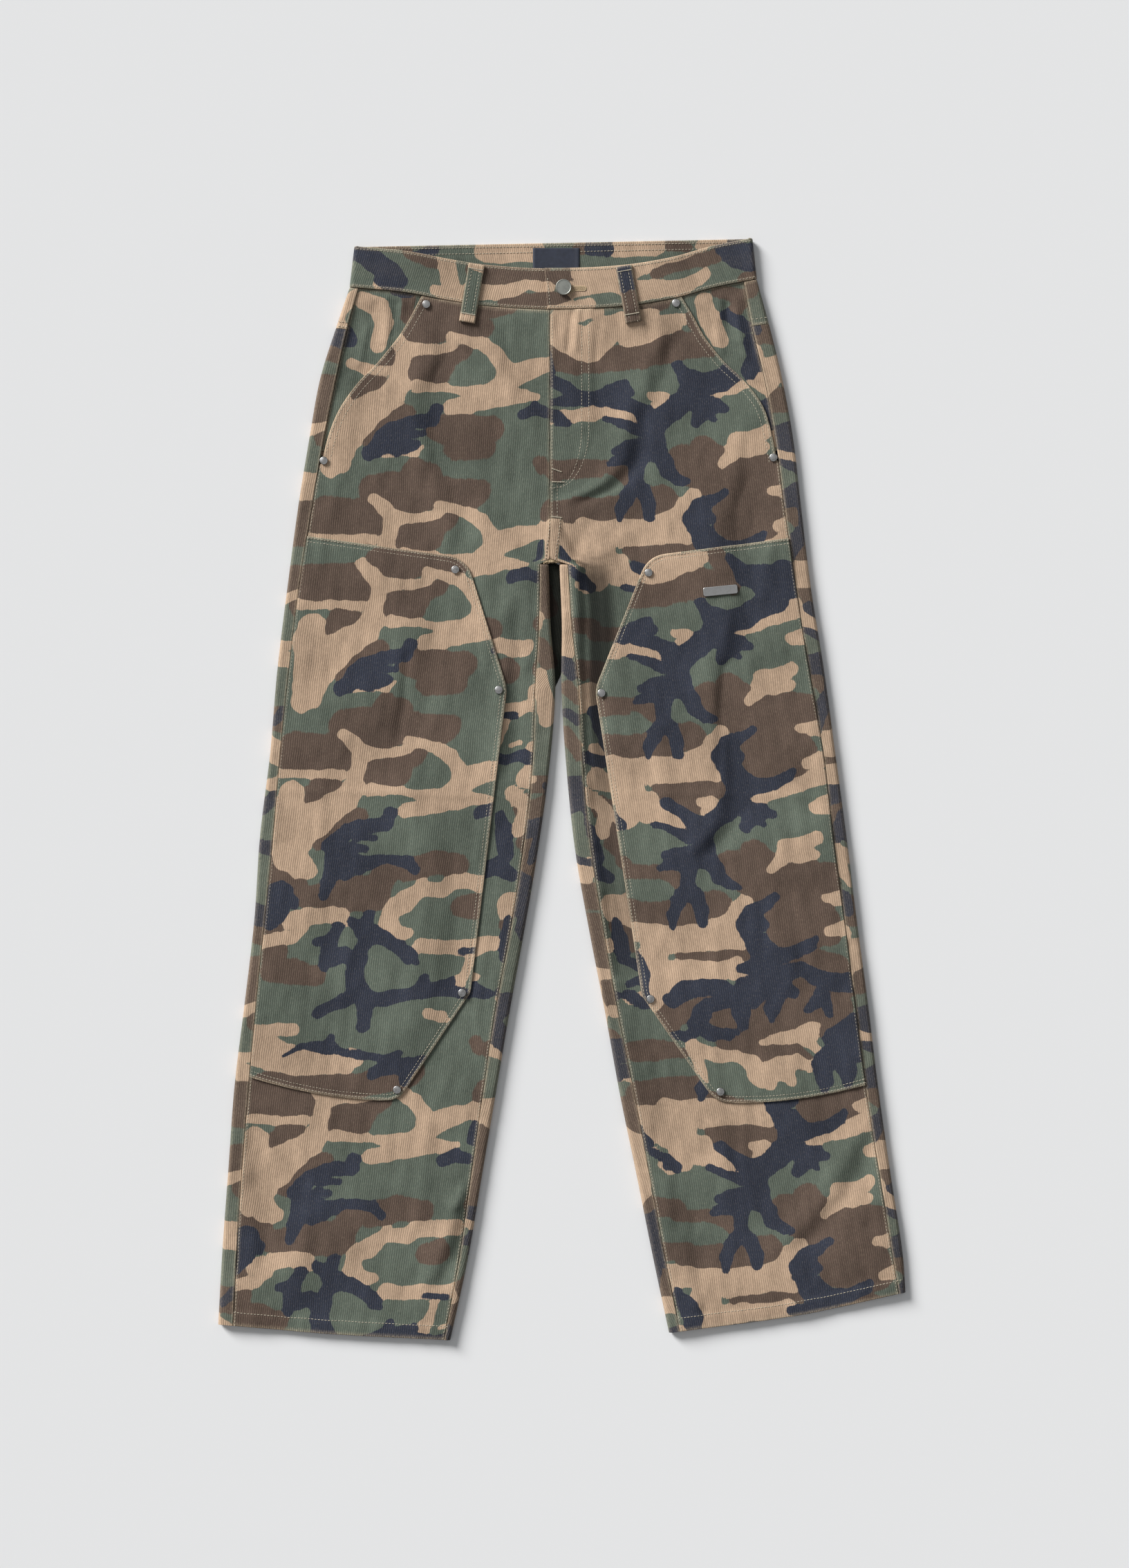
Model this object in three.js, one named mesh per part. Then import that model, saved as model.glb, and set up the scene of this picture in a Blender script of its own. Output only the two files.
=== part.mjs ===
// Carpenter trousers in corduroy, laid flat on their back with the legs a little apart.
// Millimetres. X runs across and the wearer's right leg is at -X, Y runs from the hems up to the
// waist, Z is the height above the surface. The origin is under the middle of the garment.
import * as THREE from 'three';

// ---- cloth and layers -------------------------------------------------------------------------
const CLOTH = 2.0; // corduroy with its pile
const SEAM_GAP = 0.3; // pieces stop this far apart where they are sewn
const LAY_GAP = 0.4; // between a panel and a piece that lies on or under it
const FOLD_HEIGHT = 7.8; // outside height of a leg where it folds round its edge
const PANEL_EDGE = 7.2; // top of a front panel beside its seams
const PANEL_MIDDLE = 6.0; // top of a front panel where it sags between them
const PANEL_LOWEST = 4.6;
const PANEL_HIGHEST = 7.6;
const EDGE_SOFTNESS = 30; // how far a panel's raised border reaches
const HEM_HEIGHT = 14; // depth of the turned hem
const HEM_RISE = 0.8; // extra height of the turned hem

// ---- rise, fly and waist ----------------------------------------------------------------------
const CENTRE_X = -11; // centre front and centre back seams
const CROTCH_Y = 222; // top of the slot between the legs
const CROTCH_STEP = 4; // the centre seam starts this far above the slot
const FLY_END_Y = 300; // the overlapped fly flattens out about this height
const FLY_END_SOFTNESS = { below: 50, above: 20 };
const FLY_RISE = 1.1; // the fly facing and zip lift the left front
const FLY_WIDTH = 38;
const FLY_EDGE_DROP = 0.9; // the left front comes down again along the centre seam
const MOUTH_RISE = 0.7; // the facing below lifts a front along its pocket mouth
const MOUTH_SOFTNESS = 24;
const MOUTH_FADE = 50; // the lift dies away this far below the mouth
const WAIST_RISE = 0.9; // lift of the fronts where they run into the waistband
const WAIST_FADE = 40;
const WAIST_RISE_RIGHT = { none: -40, full: -150 }; // it fades towards the fly on the right front
const BAND_HEIGHT = 40.5;
const BAND_CLOTH = 2.6; // two layers
const BAND_TAPER = 0.023; // the band is this much narrower along its top edge
const BAND_RIGHT_Z = 6.4; // underside of the front band at the right fold
const BAND_UNDER_Z = 3.8; // underside of the end that lies below at the fly
const BAND_OVER_Z = 6.7; // underside of the end that lies on top
const BAND_LEFT_Z = 6.5; // underside of the front band at the left fold
const BAND_DIP = { from: -150, to: -35 }; // where the right end drops to lie below
const BAND_LEVEL = { from: 30, to: 150 }; // where the left end settles
const BAND_UNDER_END = 24;
const BAND_OVER_END = { x: -13.5, lean: -3.2 };
const BAND_FOLD_RIGHT = { x: -208, y: 492 };
const BAND_FOLD_LEFT = { x: 192, y: 500 };

// Height of the front waist seam across the garment.
const WAIST_SEAM = [
  { x: -208, y: 492 },
  { x: -154, y: 487 },
  { x: -113, y: 479.5 },
  { x: -75, y: 474 },
  { x: -15, y: 470.5 },
  { x: 57, y: 473 },
  { x: 110, y: 481 },
  { x: 151, y: 492 },
  { x: 192, y: 500 },
];

// ---- legs -------------------------------------------------------------------------------------
// side: one row per level, with the x of the outer fold and of the side seam.
// inner: the same for the inseam and the inner fold, from the crotch down.
// hem: height of the hem across the leg. mouth: the pocket opening's edge.
// knee: the double-knee panel's corners from the top edge round to the bottom edge, with the
// radius of each, where its two edges meet the side seam, and how far the bottom edge bows.
const RIGHT_LEG = {
  name: 'right',
  sign: -1,
  side: [
    { y: 492, outer: -208, seam: -199 },
    { y: 452, outer: -221.5, seam: -210 },
    { y: 402, outer: -237, seam: -221 },
    { y: 341, outer: -248, seam: -233.5 },
    { y: 280, outer: -258, seam: -244 },
    { y: 198, outer: -269, seam: -257 },
    { y: 116, outer: -279, seam: -267 },
    { y: 35, outer: -286, seam: -275.5 },
    { y: -47, outer: -296, seam: -282.5 },
    { y: -128, outer: -301.5, seam: -290.5 },
    { y: -210, outer: -311, seam: -299 },
    { y: -292, outer: -321, seam: -306.5 },
    { y: -373, outer: -327, seam: -313 },
    { y: -455, outer: -333, seam: -318.5 },
    { y: -526, outer: -337, seam: -322 },
  ],
  inner: [
    { y: 222, seam: -21, fold: -12.5 },
    { y: 160, seam: -22, fold: -10.5 },
    { y: 100, seam: -25.5, fold: -6 },
    { y: 20, seam: -28.5, fold: -12 },
    { y: -60, seam: -37.5, fold: -23 },
    { y: -140, seam: -50, fold: -36.5 },
    { y: -220, seam: -65, fold: -51 },
    { y: -300, seam: -77, fold: -64.5 },
    { y: -380, seam: -88.5, fold: -78 },
    { y: -460, seam: -100, fold: -91.5 },
    { y: -541, seam: -115, fold: -109 },
  ],
  hem: [
    { x: -337, y: -525.5 },
    { x: -228, y: -535 },
    { x: -109, y: -541 },
  ],
  mouth: [
    { y: 484, x: -137 },
    { y: 460, x: -150 },
    { y: 443, x: -160.5 },
    { y: 419, x: -180 },
    { y: 398, x: -200 },
    { y: 372, x: -218 },
    { y: 345, x: -229 },
    { y: 318, x: -235.5 },
  ],
  knee: {
    top: 248,
    bottom: -282,
    bow: -5,
    corners: [
      { x: -93, y: 226.5, round: 30 },
      { x: -53, y: 99, round: 35 },
      { x: -89, y: -200, round: 12 },
      { x: -161, y: -308, round: 25 },
    ],
  },
  yokeY: 452,
  loop: { top: { x: -83, y: 514.5 }, bottom: { x: -92.5, y: 457.5 } },
  mouthRivets: [{ x: -132.5, y: 475.5 }, { x: -233, y: 322 }],
  kneeRivets: [{ x: -104, y: 215 }, { x: -61.3, y: 97 }, { x: -97.3, y: -200 }, { x: -161, y: -295 }],
  creases: [
    { x0: -40, y0: 372, x1: -12, y1: 322, wide: 12, lift: -0.9 },
    { x0: -118, y0: 380, x1: -120, y1: 262, wide: 20, lift: -0.8 },
    { x0: -150, y0: 150, x1: -166, y1: 20, wide: 22, lift: -0.7 },
    { x0: -92, y0: -380, x1: -100, y1: -455, wide: 12, lift: -1.2 },
    { x0: -128, y0: -468, x1: -158, y1: -500, wide: 13, lift: -1.1 },
  ],
};

const LEFT_LEG = {
  name: 'left',
  sign: 1,
  side: [
    { y: 500, outer: 192, seam: 178.5 },
    { y: 452, outer: 205, seam: 187.5 },
    { y: 402, outer: 217, seam: 199.5 },
    { y: 341, outer: 228, seam: 210.5 },
    { y: 280, outer: 235, seam: 218.5 },
    { y: 198, outer: 245, seam: 230 },
    { y: 116, outer: 258, seam: 243 },
    { y: 35, outer: 269, seam: 257 },
    { y: -47, outer: 280, seam: 266.5 },
    { y: -128, outer: 290, seam: 277.5 },
    { y: -210, outer: 301, seam: 288 },
    { y: -292, outer: 311, seam: 298.5 },
    { y: -373, outer: 322.5, seam: 311.5 },
    { y: -455, outer: 335, seam: 324.5 },
    { y: -494, outer: 338, seam: 331 },
  ],
  inner: [
    { y: 222, seam: 6.5, fold: -2 },
    { y: 160, seam: 10.5, fold: 0.5 },
    { y: 100, seam: 17, fold: 0 },
    { y: 20, seam: 21.5, fold: 5 },
    { y: -60, seam: 29.5, fold: 13.5 },
    { y: -140, seam: 42, fold: 27.5 },
    { y: -220, seam: 56, fold: 43 },
    { y: -300, seam: 72, fold: 57.5 },
    { y: -380, seam: 87, fold: 74 },
    { y: -460, seam: 102, fold: 90 },
    { y: -533, seam: 116.5, fold: 105.5 },
  ],
  hem: [
    { x: 105, y: -534 },
    { x: 237, y: -516 },
    { x: 338, y: -494 },
  ],
  mouth: [
    { y: 486, x: 116 },
    { y: 461, x: 131 },
    { y: 443, x: 141 },
    { y: 419, x: 160 },
    { y: 401, x: 179 },
    { y: 376, x: 197.5 },
    { y: 350, x: 206 },
    { y: 322, x: 211.5 },
  ],
  knee: {
    top: 246,
    bottom: -290,
    bow: -5,
    corners: [
      { x: 85, y: 228.5, round: 30 },
      { x: 33, y: 98, round: 35 },
      { x: 79, y: -203, round: 10 },
      { x: 153, y: -310, round: 30 },
    ],
  },
  yokeY: 456,
  loop: { top: { x: 61, y: 512.5 }, bottom: { x: 71, y: 457.5 } },
  mouthRivets: [{ x: 112.5, y: 476.5 }, { x: 208, y: 325 }],
  kneeRivets: [{ x: 85.6, y: 212 }, { x: 39.4, y: 94 }, { x: 87.5, y: -206 }, { x: 156, y: -297 }],
  creases: [
    { x0: 28, y0: 205, x1: 28, y1: 20, wide: 11, lift: -1.9 },
    { x0: 28, y0: 20, x1: 52, y1: -180, wide: 9, lift: -1.4 },
    { x0: 188, y0: 345, x1: 164, y1: 235, wide: 15, lift: -1.2 },
    { x0: 160, y0: 120, x1: 152, y1: 10, wide: 16, lift: -0.8 },
    { x0: 60, y0: 300, x1: 22, y1: 250, wide: 16, lift: 0.6 },
  ],
};
const LEGS = [RIGHT_LEG, LEFT_LEG];

// ---- small pieces -----------------------------------------------------------------------------
const YOKE_BACK_Y = 428; // where the yoke seam meets the centre back
const FACING_CLOTH = 1.4;
const FACING_TUCK = 15; // how far a pocket facing runs in under the front
const FACING_LOWER_Y = 332;
const KNEE_CLOTH = 1.8;
const KNEE_GAP = 0.55; // the double knee lies loosely on the front
const KNEE_COLUMNS = 12;
const LOOP_WIDTH = 15.5;
const LOOP_CLOTH = 2.4;
const LOOP_STEP = { from: 13, to: 3 }; // below the waist seam, where a loop climbs on to the band
const LABEL = { x0: -28, x1: 18, y0: 504, y1: 531.5, thick: 0.6 };
const BUTTON = { x: 2.2, y: 491.5, shank: 3.2 };

// Half sections from the middle underneath, round the rim, to the middle on top.
const BUTTON_SECTION = [
  { out: 0, up: 0 },
  { out: 3.2, up: 0 },
  { out: 3.2, up: 1.2 },
  { out: 7.2, up: 1.2 },
  { out: 7.8, up: 2.1 },
  { out: 7.4, up: 3.7 },
  { out: 6.9, up: 3.4 },
  { out: 0, up: 3.6 },
];
const RIVET_SECTION = [
  { out: 0, up: 0 },
  { out: 4.0, up: 0 },
  { out: 4.0, up: 0.5 },
  { out: 3.5, up: 1.1 },
  { out: 2.6, up: 1.25 },
  { out: 0, up: 1.4 },
];
const RIVET_RADIUS = 4.0;
const PLATE = { x: 156, y: 194.5, wide: 34, tall: 9, thick: 1.4, round: 2.2, turn: 0.1, steps: 4 };

// ---- grid counts ------------------------------------------------------------------------------
const LEG_ROWS = 22; // from above the hem up to the crotch
const HIP_ROWS = 8; // from the crotch to the waist seam
const PANEL_COLUMNS = 12;
const FLOOR_COLUMNS = 5; // across the back of a leg, which lies flat
const TURN_STEPS = 5; // round a fold
const BAND_COLUMNS = 15;
const LEANING_COLUMNS = 3; // the last ones of the end that lies on top
const YOKE_LEVELS = [1.0001, 1.5, 2]; // from the yoke seam up to the waist seam
const FACING_ROWS = 7;
const FACING_COLUMNS = 4;
const CORNER_STEPS = 3; // round a corner of the double knee
const KNEE_SPACING = 45; // between the points along its straight edges
const LOOP_ROWS = 10;
const RIVET_STEPS = 16; // round a turned piece
const BUTTON_STEPS = 24;
const RING_POINTS = 12; // where the cloth under a round piece is looked at
const FIND_FROM = 220; // a search across a leg starts this far from the middle
const FIND_STEPS = 6;

// ---- helpers ----------------------------------------------------------------------------------
const mix = THREE.MathUtils.lerp;
const clamp = THREE.MathUtils.clamp;
const ease = (from, to, value) => THREE.MathUtils.smoothstep(value, from, to);
const bell = (distance, width) => Math.exp(-((distance / width) ** 2));

// A smooth curve through one column of a table, read at a place in another column.
function curve(table, key, column, at) {
  const rows = table[0][key] < table[table.length - 1][key] ? table : [...table].reverse();
  const last = rows.length - 1;
  let i = 0;
  while (i < last - 1 && at > rows[i + 1][key]) i += 1;
  const a = rows[i];
  const b = rows[i + 1];
  const before = rows[Math.max(i - 1, 0)];
  const after = rows[Math.min(i + 2, last)];
  const span = b[key] - a[key];
  const t = (at - a[key]) / span;
  const startSlope = ((b[column] - before[column]) / (b[key] - before[key])) * span;
  const endSlope = ((after[column] - a[column]) / (after[key] - a[key])) * span;
  if (t < 0) return a[column] + startSlope * t;
  if (t > 1) return b[column] + endSlope * (t - 1);
  const h = t * t * (3 - 2 * t);
  const inA = t * (1 - t) * (1 - t);
  const inB = t * t * (t - 1);
  return mix(a[column], b[column], h) + inA * startSlope + inB * endSlope;
}

// A closed body from two matching grids of points, its outside and its inside. Cells that
// `present` leaves out are open, and every free border gets an edge wall.
function sheetBody(outside, inside, present = () => true) {
  const rows = outside.length;
  const columns = outside[0].length;
  const position = [];
  const index = [];
  const number = new Map();
  const vertex = (side, j, i) => {
    const key = (side * rows + j) * columns + i;
    if (!number.has(key)) {
      number.set(key, position.length / 3);
      const point = (side === 0 ? outside : inside)[j][i];
      position.push(point.x, point.y, point.z);
    }
    return number.get(key);
  };
  const has = (j, i) => j >= 0 && i >= 0 && j < rows - 1 && i < columns - 1 && present(j, i);
  const quad = (a, b, c, d) => index.push(a, b, c, a, c, d);
  for (let j = 0; j < rows - 1; j += 1) {
    for (let i = 0; i < columns - 1; i += 1) {
      if (!has(j, i)) continue;
      const o = [[j, i], [j, i + 1], [j + 1, i + 1], [j + 1, i]].map(([r, c]) => vertex(0, r, c));
      const n = [[j, i], [j, i + 1], [j + 1, i + 1], [j + 1, i]].map(([r, c]) => vertex(1, r, c));
      quad(o[0], o[1], o[2], o[3]);
      quad(n[3], n[2], n[1], n[0]);
      if (!has(j - 1, i)) quad(n[0], n[1], o[1], o[0]);
      if (!has(j + 1, i)) quad(n[2], n[3], o[3], o[2]);
      if (!has(j, i - 1)) quad(n[3], n[0], o[0], o[3]);
      if (!has(j, i + 1)) quad(n[1], n[2], o[2], o[1]);
    }
  }
  const geometry = new THREE.BufferGeometry();
  geometry.setAttribute('position', new THREE.Float32BufferAttribute(position, 3));
  geometry.setIndex(index);
  return facingOut(geometry);
}

// Turns a closed body's faces outwards when its enclosed volume comes out negative.
function facingOut(geometry) {
  const p = geometry.getAttribute('position');
  const index = geometry.getIndex().array;
  const [a, b, c] = [new THREE.Vector3(), new THREE.Vector3(), new THREE.Vector3()];
  let volume = 0;
  for (let k = 0; k < index.length; k += 3) {
    a.fromBufferAttribute(p, index[k]);
    b.fromBufferAttribute(p, index[k + 1]);
    c.fromBufferAttribute(p, index[k + 2]);
    volume += a.dot(b.cross(c));
  }
  if (volume < 0) geometry.setIndex([...index].reverse());
  geometry.computeVertexNormals();
  return geometry;
}

// A flat-lying sheet: a grid of places, the height of its top and its thickness.
function laidSheet(places, topAt, thickness) {
  const top = places.map((row) => row.map((p) => new THREE.Vector3(p.x, p.y, topAt(p.x, p.y))));
  const under = top.map((row) => row.map((p) => new THREE.Vector3(p.x, p.y, p.z - thickness)));
  return sheetBody(top, under);
}

// The two faces of a wall of cloth round a path in the XZ plane, one path for each row. `handed`
// is 1 for a path that runs clockwise and -1 for one that runs the other way.
function wallFaces(paths, thickness, handed) {
  const outside = [];
  const inside = [];
  for (const path of paths) {
    const outRow = [];
    const inRow = [];
    path.forEach((p, i) => {
      const before = path[Math.max(i - 1, 0)];
      const after = path[Math.min(i + 1, path.length - 1)];
      const dx = after.x - before.x;
      const dz = after.z - before.z;
      const scale = (handed * thickness) / 2 / Math.hypot(dx, dz);
      const flat = { x: 0, z: (p.level * thickness) / 2 };
      const normal = p.level ? flat : { x: -dz * scale, z: dx * scale };
      outRow.push(new THREE.Vector3(p.x + normal.x, p.y, p.z + normal.z));
      inRow.push(new THREE.Vector3(p.x - normal.x, p.y, p.z - normal.z));
    });
    outside.push(outRow);
    inside.push(inRow);
  }
  return [outside, inside];
}

function named(name, geometry, material) {
  const mesh = new THREE.Mesh(geometry, material.clone());
  mesh.name = name;
  return mesh;
}

// ---- lines of the garment ---------------------------------------------------------------------
const outerX = (leg, y) => curve(leg.side, 'y', 'outer', y);
const sideX = (leg, y) => curve(leg.side, 'y', 'seam', y);
const foldX = (leg, y) => curve(leg.inner, 'y', 'fold', y);
const inseamX = (leg, y) => curve(leg.inner, 'y', 'seam', y);
const mouthX = (leg, y) => curve(leg.mouth, 'y', 'x', y);
const mouthEnd = (leg) => leg.mouth[leg.mouth.length - 1].y;
const hemY = (leg, x) => curve(leg.hem, 'x', 'y', x);
const waistY = (x) => curve(WAIST_SEAM, 'x', 'y', x);

// The back waist seam lies straight across underneath.
function backWaistY(x) {
  const t = (x - BAND_FOLD_RIGHT.x) / (BAND_FOLD_LEFT.x - BAND_FOLD_RIGHT.x);
  return mix(BAND_FOLD_RIGHT.y, BAND_FOLD_LEFT.y, t);
}

function yokeSeamY(leg, x) {
  const t = (x - CENTRE_X) / (outerX(leg, leg.yokeY) - CENTRE_X);
  return mix(YOKE_BACK_Y, leg.yokeY, clamp(t, 0, 1));
}

// A front panel's inner edge: the centre seam above the crotch, the inseam below it.
const frontInnerX = (leg, y) => (y > CROTCH_Y ? CENTRE_X : inseamX(leg, y));

// Levels of a leg from 0 at the hem to 1 at the crotch and 2 at the top of the piece.
function legLevels() {
  const length = CROTCH_Y - RIGHT_LEG.hem[1].y;
  const hemRows = [0, HEM_HEIGHT - 1, HEM_HEIGHT + 1].map((d) => d / length);
  const start = hemRows[hemRows.length - 1];
  const legRows = Array.from({ length: LEG_ROWS }, (_, k) => mix(start, 1, (k + 1) / LEG_ROWS));
  const crotchRow = 1 + CROTCH_STEP / (waistY(CENTRE_X) - CROTCH_Y);
  const hipRows = Array.from({ length: HIP_ROWS }, (_, k) => mix(crotchRow, 2, (k + 1) / HIP_ROWS));
  return [...hemRows, ...legRows, crotchRow, ...hipRows];
}

const levelY = (leg, level, x, topY) =>
  (level <= 1 ? mix(hemY(leg, x), CROTCH_Y, level) : mix(CROTCH_Y, topY(x), level - 1));

// The place where a level meets a line that is given as x for each y.
function onLine(leg, level, lineX, topY, startX) {
  let x = startX;
  for (let k = 0; k < FIND_STEPS; k += 1) x = lineX(levelY(leg, level, x, topY));
  return { x, y: levelY(leg, level, x, topY) };
}

// ---- height of a front panel ------------------------------------------------------------------
function distanceToLine(x, y, line) {
  const dx = line.x1 - line.x0;
  const dy = line.y1 - line.y0;
  const t = clamp(((x - line.x0) * dx + (y - line.y0) * dy) / (dx * dx + dy * dy), 0, 1);
  return Math.hypot(x - line.x0 - dx * t, y - line.y0 - dy * t);
}

function frontTop(leg, x, y) {
  const flyPart = ease(FLY_END_Y - FLY_END_SOFTNESS.below, FLY_END_Y + FLY_END_SOFTNESS.above, y);
  const atSide = bell(x - sideX(leg, y), EDGE_SOFTNESS);
  const atInner = bell(x - frontInnerX(leg, y), EDGE_SOFTNESS) * (leg.sign < 0 ? 1 - flyPart : 1);
  let z = mix(PANEL_MIDDLE, PANEL_EDGE, Math.min(atSide + atInner, 1));
  const flyLift = FLY_RISE * bell(x - CENTRE_X, FLY_WIDTH) - FLY_EDGE_DROP * atInner;
  if (leg.sign > 0) z += flyPart * flyLift;
  const towardsFly = ease(WAIST_RISE_RIGHT.none, WAIST_RISE_RIGHT.full, x);
  z += WAIST_RISE * ease(waistY(x) - WAIST_FADE, waistY(x), y) * (leg.sign > 0 ? 1 : towardsFly);
  const mouthPart = ease(mouthEnd(leg) - MOUTH_FADE, mouthEnd(leg), y);
  z += MOUTH_RISE * mouthPart * bell(x - mouthX(leg, y), MOUTH_SOFTNESS);
  for (const crease of leg.creases) {
    z += crease.lift * bell(distanceToLine(x, y, crease), crease.wide);
  }
  z = clamp(z, PANEL_LOWEST, PANEL_HIGHEST);
  return y < hemY(leg, x) + HEM_HEIGHT ? z + HEM_RISE : z;
}

// ---- leg pieces -------------------------------------------------------------------------------
function frontPanel(leg) {
  const inward = -leg.sign * SEAM_GAP;
  const outerEdge = (y) => {
    const seam = sideX(leg, y) + inward / 2;
    const mouth = mouthX(leg, y);
    return y > mouthEnd(leg) ? leg.sign * Math.min(leg.sign * seam, leg.sign * mouth) : seam;
  };
  const innerEdge = (y) => frontInnerX(leg, y) - inward / 2;
  const topY = (x) => waistY(x) - SEAM_GAP / 2;
  const places = legLevels().map((level) => {
    const a = onLine(leg, level, outerEdge, topY, leg.sign * FIND_FROM);
    const b = onLine(leg, level, innerEdge, topY, CENTRE_X);
    return Array.from({ length: PANEL_COLUMNS + 1 }, (_, i) => {
      const x = mix(a.x, b.x, i / PANEL_COLUMNS);
      return { x, y: levelY(leg, level, x, topY) };
    });
  });
  return laidSheet(places, (x, y) => frontTop(leg, x, y), CLOTH);
}

// Middle line of a back panel's section at one level, from the side seam on top, round the outer
// fold, flat along the surface below, round the inner fold and up to the inseam.
function backPath(leg, level, bottomY, topY) {
  const s = leg.sign;
  const middleTop = FOLD_HEIGHT - CLOTH / 2;
  const turn = (FOLD_HEIGHT - CLOTH) / 2;
  const yAt = (x, under) => {
    const top = topY(x, under);
    return level <= 1 ? mix(bottomY(x), CROTCH_Y, level) : mix(bottomY(x, under), top, level - 1);
  };
  const meet = (lineX, under) => {
    let x = s * FIND_FROM;
    for (let k = 0; k < FIND_STEPS; k += 1) x = lineX(yAt(x, under));
    return x;
  };
  const path = [];
  const add = (x, z, under, flat = 0) => path.push({ x, y: yAt(x, under), z, level: flat });
  const seam = meet((y) => sideX(leg, y) + (s * SEAM_GAP) / 2, 0);
  const outer = meet((y) => outerX(leg, y), 0.5) - s * (FOLD_HEIGHT / 2);
  add(seam, middleTop, 0, 1);
  for (let k = 0; k <= TURN_STEPS; k += 1) {
    const angle = Math.PI * (k / TURN_STEPS);
    add(outer + s * turn * Math.sin(angle), FOLD_HEIGHT / 2 + turn * Math.cos(angle), k / TURN_STEPS);
  }
  path[1].level = 1;
  path[TURN_STEPS + 1].level = -1;
  const folded = level <= 1;
  const inner = folded
    ? meet((y) => foldX(leg, y), 1) + s * (FOLD_HEIGHT / 2)
    : CENTRE_X + (s * SEAM_GAP) / 2;
  for (let k = 1; k <= FLOOR_COLUMNS; k += 1) {
    add(mix(outer, inner, k / FLOOR_COLUMNS), CLOTH / 2, 1, -1);
  }
  for (let k = 1; k <= TURN_STEPS; k += 1) {
    const angle = Math.PI * (1 - k / TURN_STEPS);
    add(inner - s * turn * Math.sin(angle), FOLD_HEIGHT / 2 + turn * Math.cos(angle), 1 - k / TURN_STEPS);
  }
  path[path.length - 1].level = 1;
  const inseam = folded ? meet((y) => inseamX(leg, y) - (s * SEAM_GAP) / 2, 0) : inner;
  add(inseam, middleTop, 0, 1);
  return path;
}

const FOLDED_FROM = 1 + TURN_STEPS + FLOOR_COLUMNS; // first column that turns up at the inner fold

function backPanel(leg) {
  const levels = legLevels();
  const crotchRow = levels.findIndex((level) => level > 1) - 1;
  const bottomY = (x, under) => (under === undefined ? hemY(leg, x) : CROTCH_Y);
  const topY = (x) => yokeSeamY(leg, x) - SEAM_GAP / 2;
  const paths = levels.map((level) => backPath(leg, level, bottomY, topY));
  const [outside, inside] = wallFaces(paths, CLOTH, leg.sign);
  return sheetBody(outside, inside, (j, i) => j < crotchRow || i < FOLDED_FROM);
}

function yoke(leg) {
  const bottomY = (x) => yokeSeamY(leg, x) + SEAM_GAP / 2;
  const topY = (x, under) => mix(waistY(x), backWaistY(x), under) - SEAM_GAP / 2;
  const paths = YOKE_LEVELS.map((level) =>
    backPath(leg, level, bottomY, topY).slice(0, FOLDED_FROM + 1));
  const [outside, inside] = wallFaces(paths, CLOTH, leg.sign);
  return sheetBody(outside, inside);
}

function pocketFacing(leg) {
  const s = leg.sign;
  const topY = (x) => waistY(x) - SEAM_GAP / 2;
  const places = Array.from({ length: FACING_ROWS + 1 }, (_, j) => {
    const rowY = (x) => mix(FACING_LOWER_Y, topY(x), j / FACING_ROWS);
    let a = s * FIND_FROM;
    let b = s * FIND_FROM;
    for (let k = 0; k < FIND_STEPS; k += 1) {
      a = sideX(leg, rowY(a)) - (s * SEAM_GAP) / 2;
      b = mouthX(leg, rowY(b)) - s * FACING_TUCK;
    }
    return Array.from({ length: FACING_COLUMNS + 1 }, (_, i) => {
      const x = mix(a, b, i / FACING_COLUMNS);
      return { x, y: rowY(x) };
    });
  });
  const lowest = CLOTH + SEAM_GAP + FACING_CLOTH;
  const topAt = (x, y) => Math.max(lowest, frontTop(leg, x, y) - CLOTH - LAY_GAP);
  return laidSheet(places, topAt, FACING_CLOTH);
}

// Points along the knee panel's free edge, its corners rounded.
function kneeEdge(leg) {
  const { top, bottom, corners } = leg.knee;
  const start = { x: sideX(leg, top), y: top };
  const end = { x: sideX(leg, bottom), y: bottom };
  const outline = [start, ...corners, end].map((p) => new THREE.Vector2(p.x, p.y));
  const points = [];
  corners.forEach(({ round }, k) => {
    const corner = outline[k + 1];
    const back = outline[k].clone().sub(corner).normalize();
    const on = outline[k + 2].clone().sub(corner).normalize();
    const half = Math.acos(clamp(back.dot(on), -1, 1)) / 2;
    const reach = round / Math.tan(half);
    const from = corner.clone().addScaledVector(back, reach);
    const to = corner.clone().addScaledVector(on, reach);
    const bend = new THREE.QuadraticBezierCurve(from, corner, to);
    if (points.length) {
      const last = points[points.length - 1];
      const gap = last.distanceTo(from);
      const steps = Math.max(1, Math.round(gap / KNEE_SPACING));
      for (let n = 1; n < steps; n += 1) points.push(last.clone().lerp(from, n / steps));
    }
    points.push(...bend.getPoints(CORNER_STEPS));
  });
  return points;
}

function kneePlaces(leg, columns) {
  const { top, bottom, bow } = leg.knee;
  const edge = kneeEdge(leg);
  const first = edge[0].y;
  const last = edge[edge.length - 1].y;
  return edge.map((p, j) => {
    const t = (first - p.y) / (first - last);
    const y = mix(top, bottom, t);
    const x = sideX(leg, y) - (leg.sign * SEAM_GAP) / 2;
    const bend = j === edge.length - 1 ? bow : 0;
    return Array.from({ length: columns + 1 }, (_, i) => {
      const u = i / columns;
      return { x: mix(x, p.x, u), y: mix(y, p.y, u) + 4 * bend * u * (1 - u) };
    });
  });
}

function kneePanel(leg) {
  return laidSheet(kneePlaces(leg, KNEE_COLUMNS), (x, y) => kneeTop(leg, x, y), KNEE_CLOTH);
}

const kneeTop = (leg, x, y) => frontTop(leg, x, y) + KNEE_GAP + KNEE_CLOTH;

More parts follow.
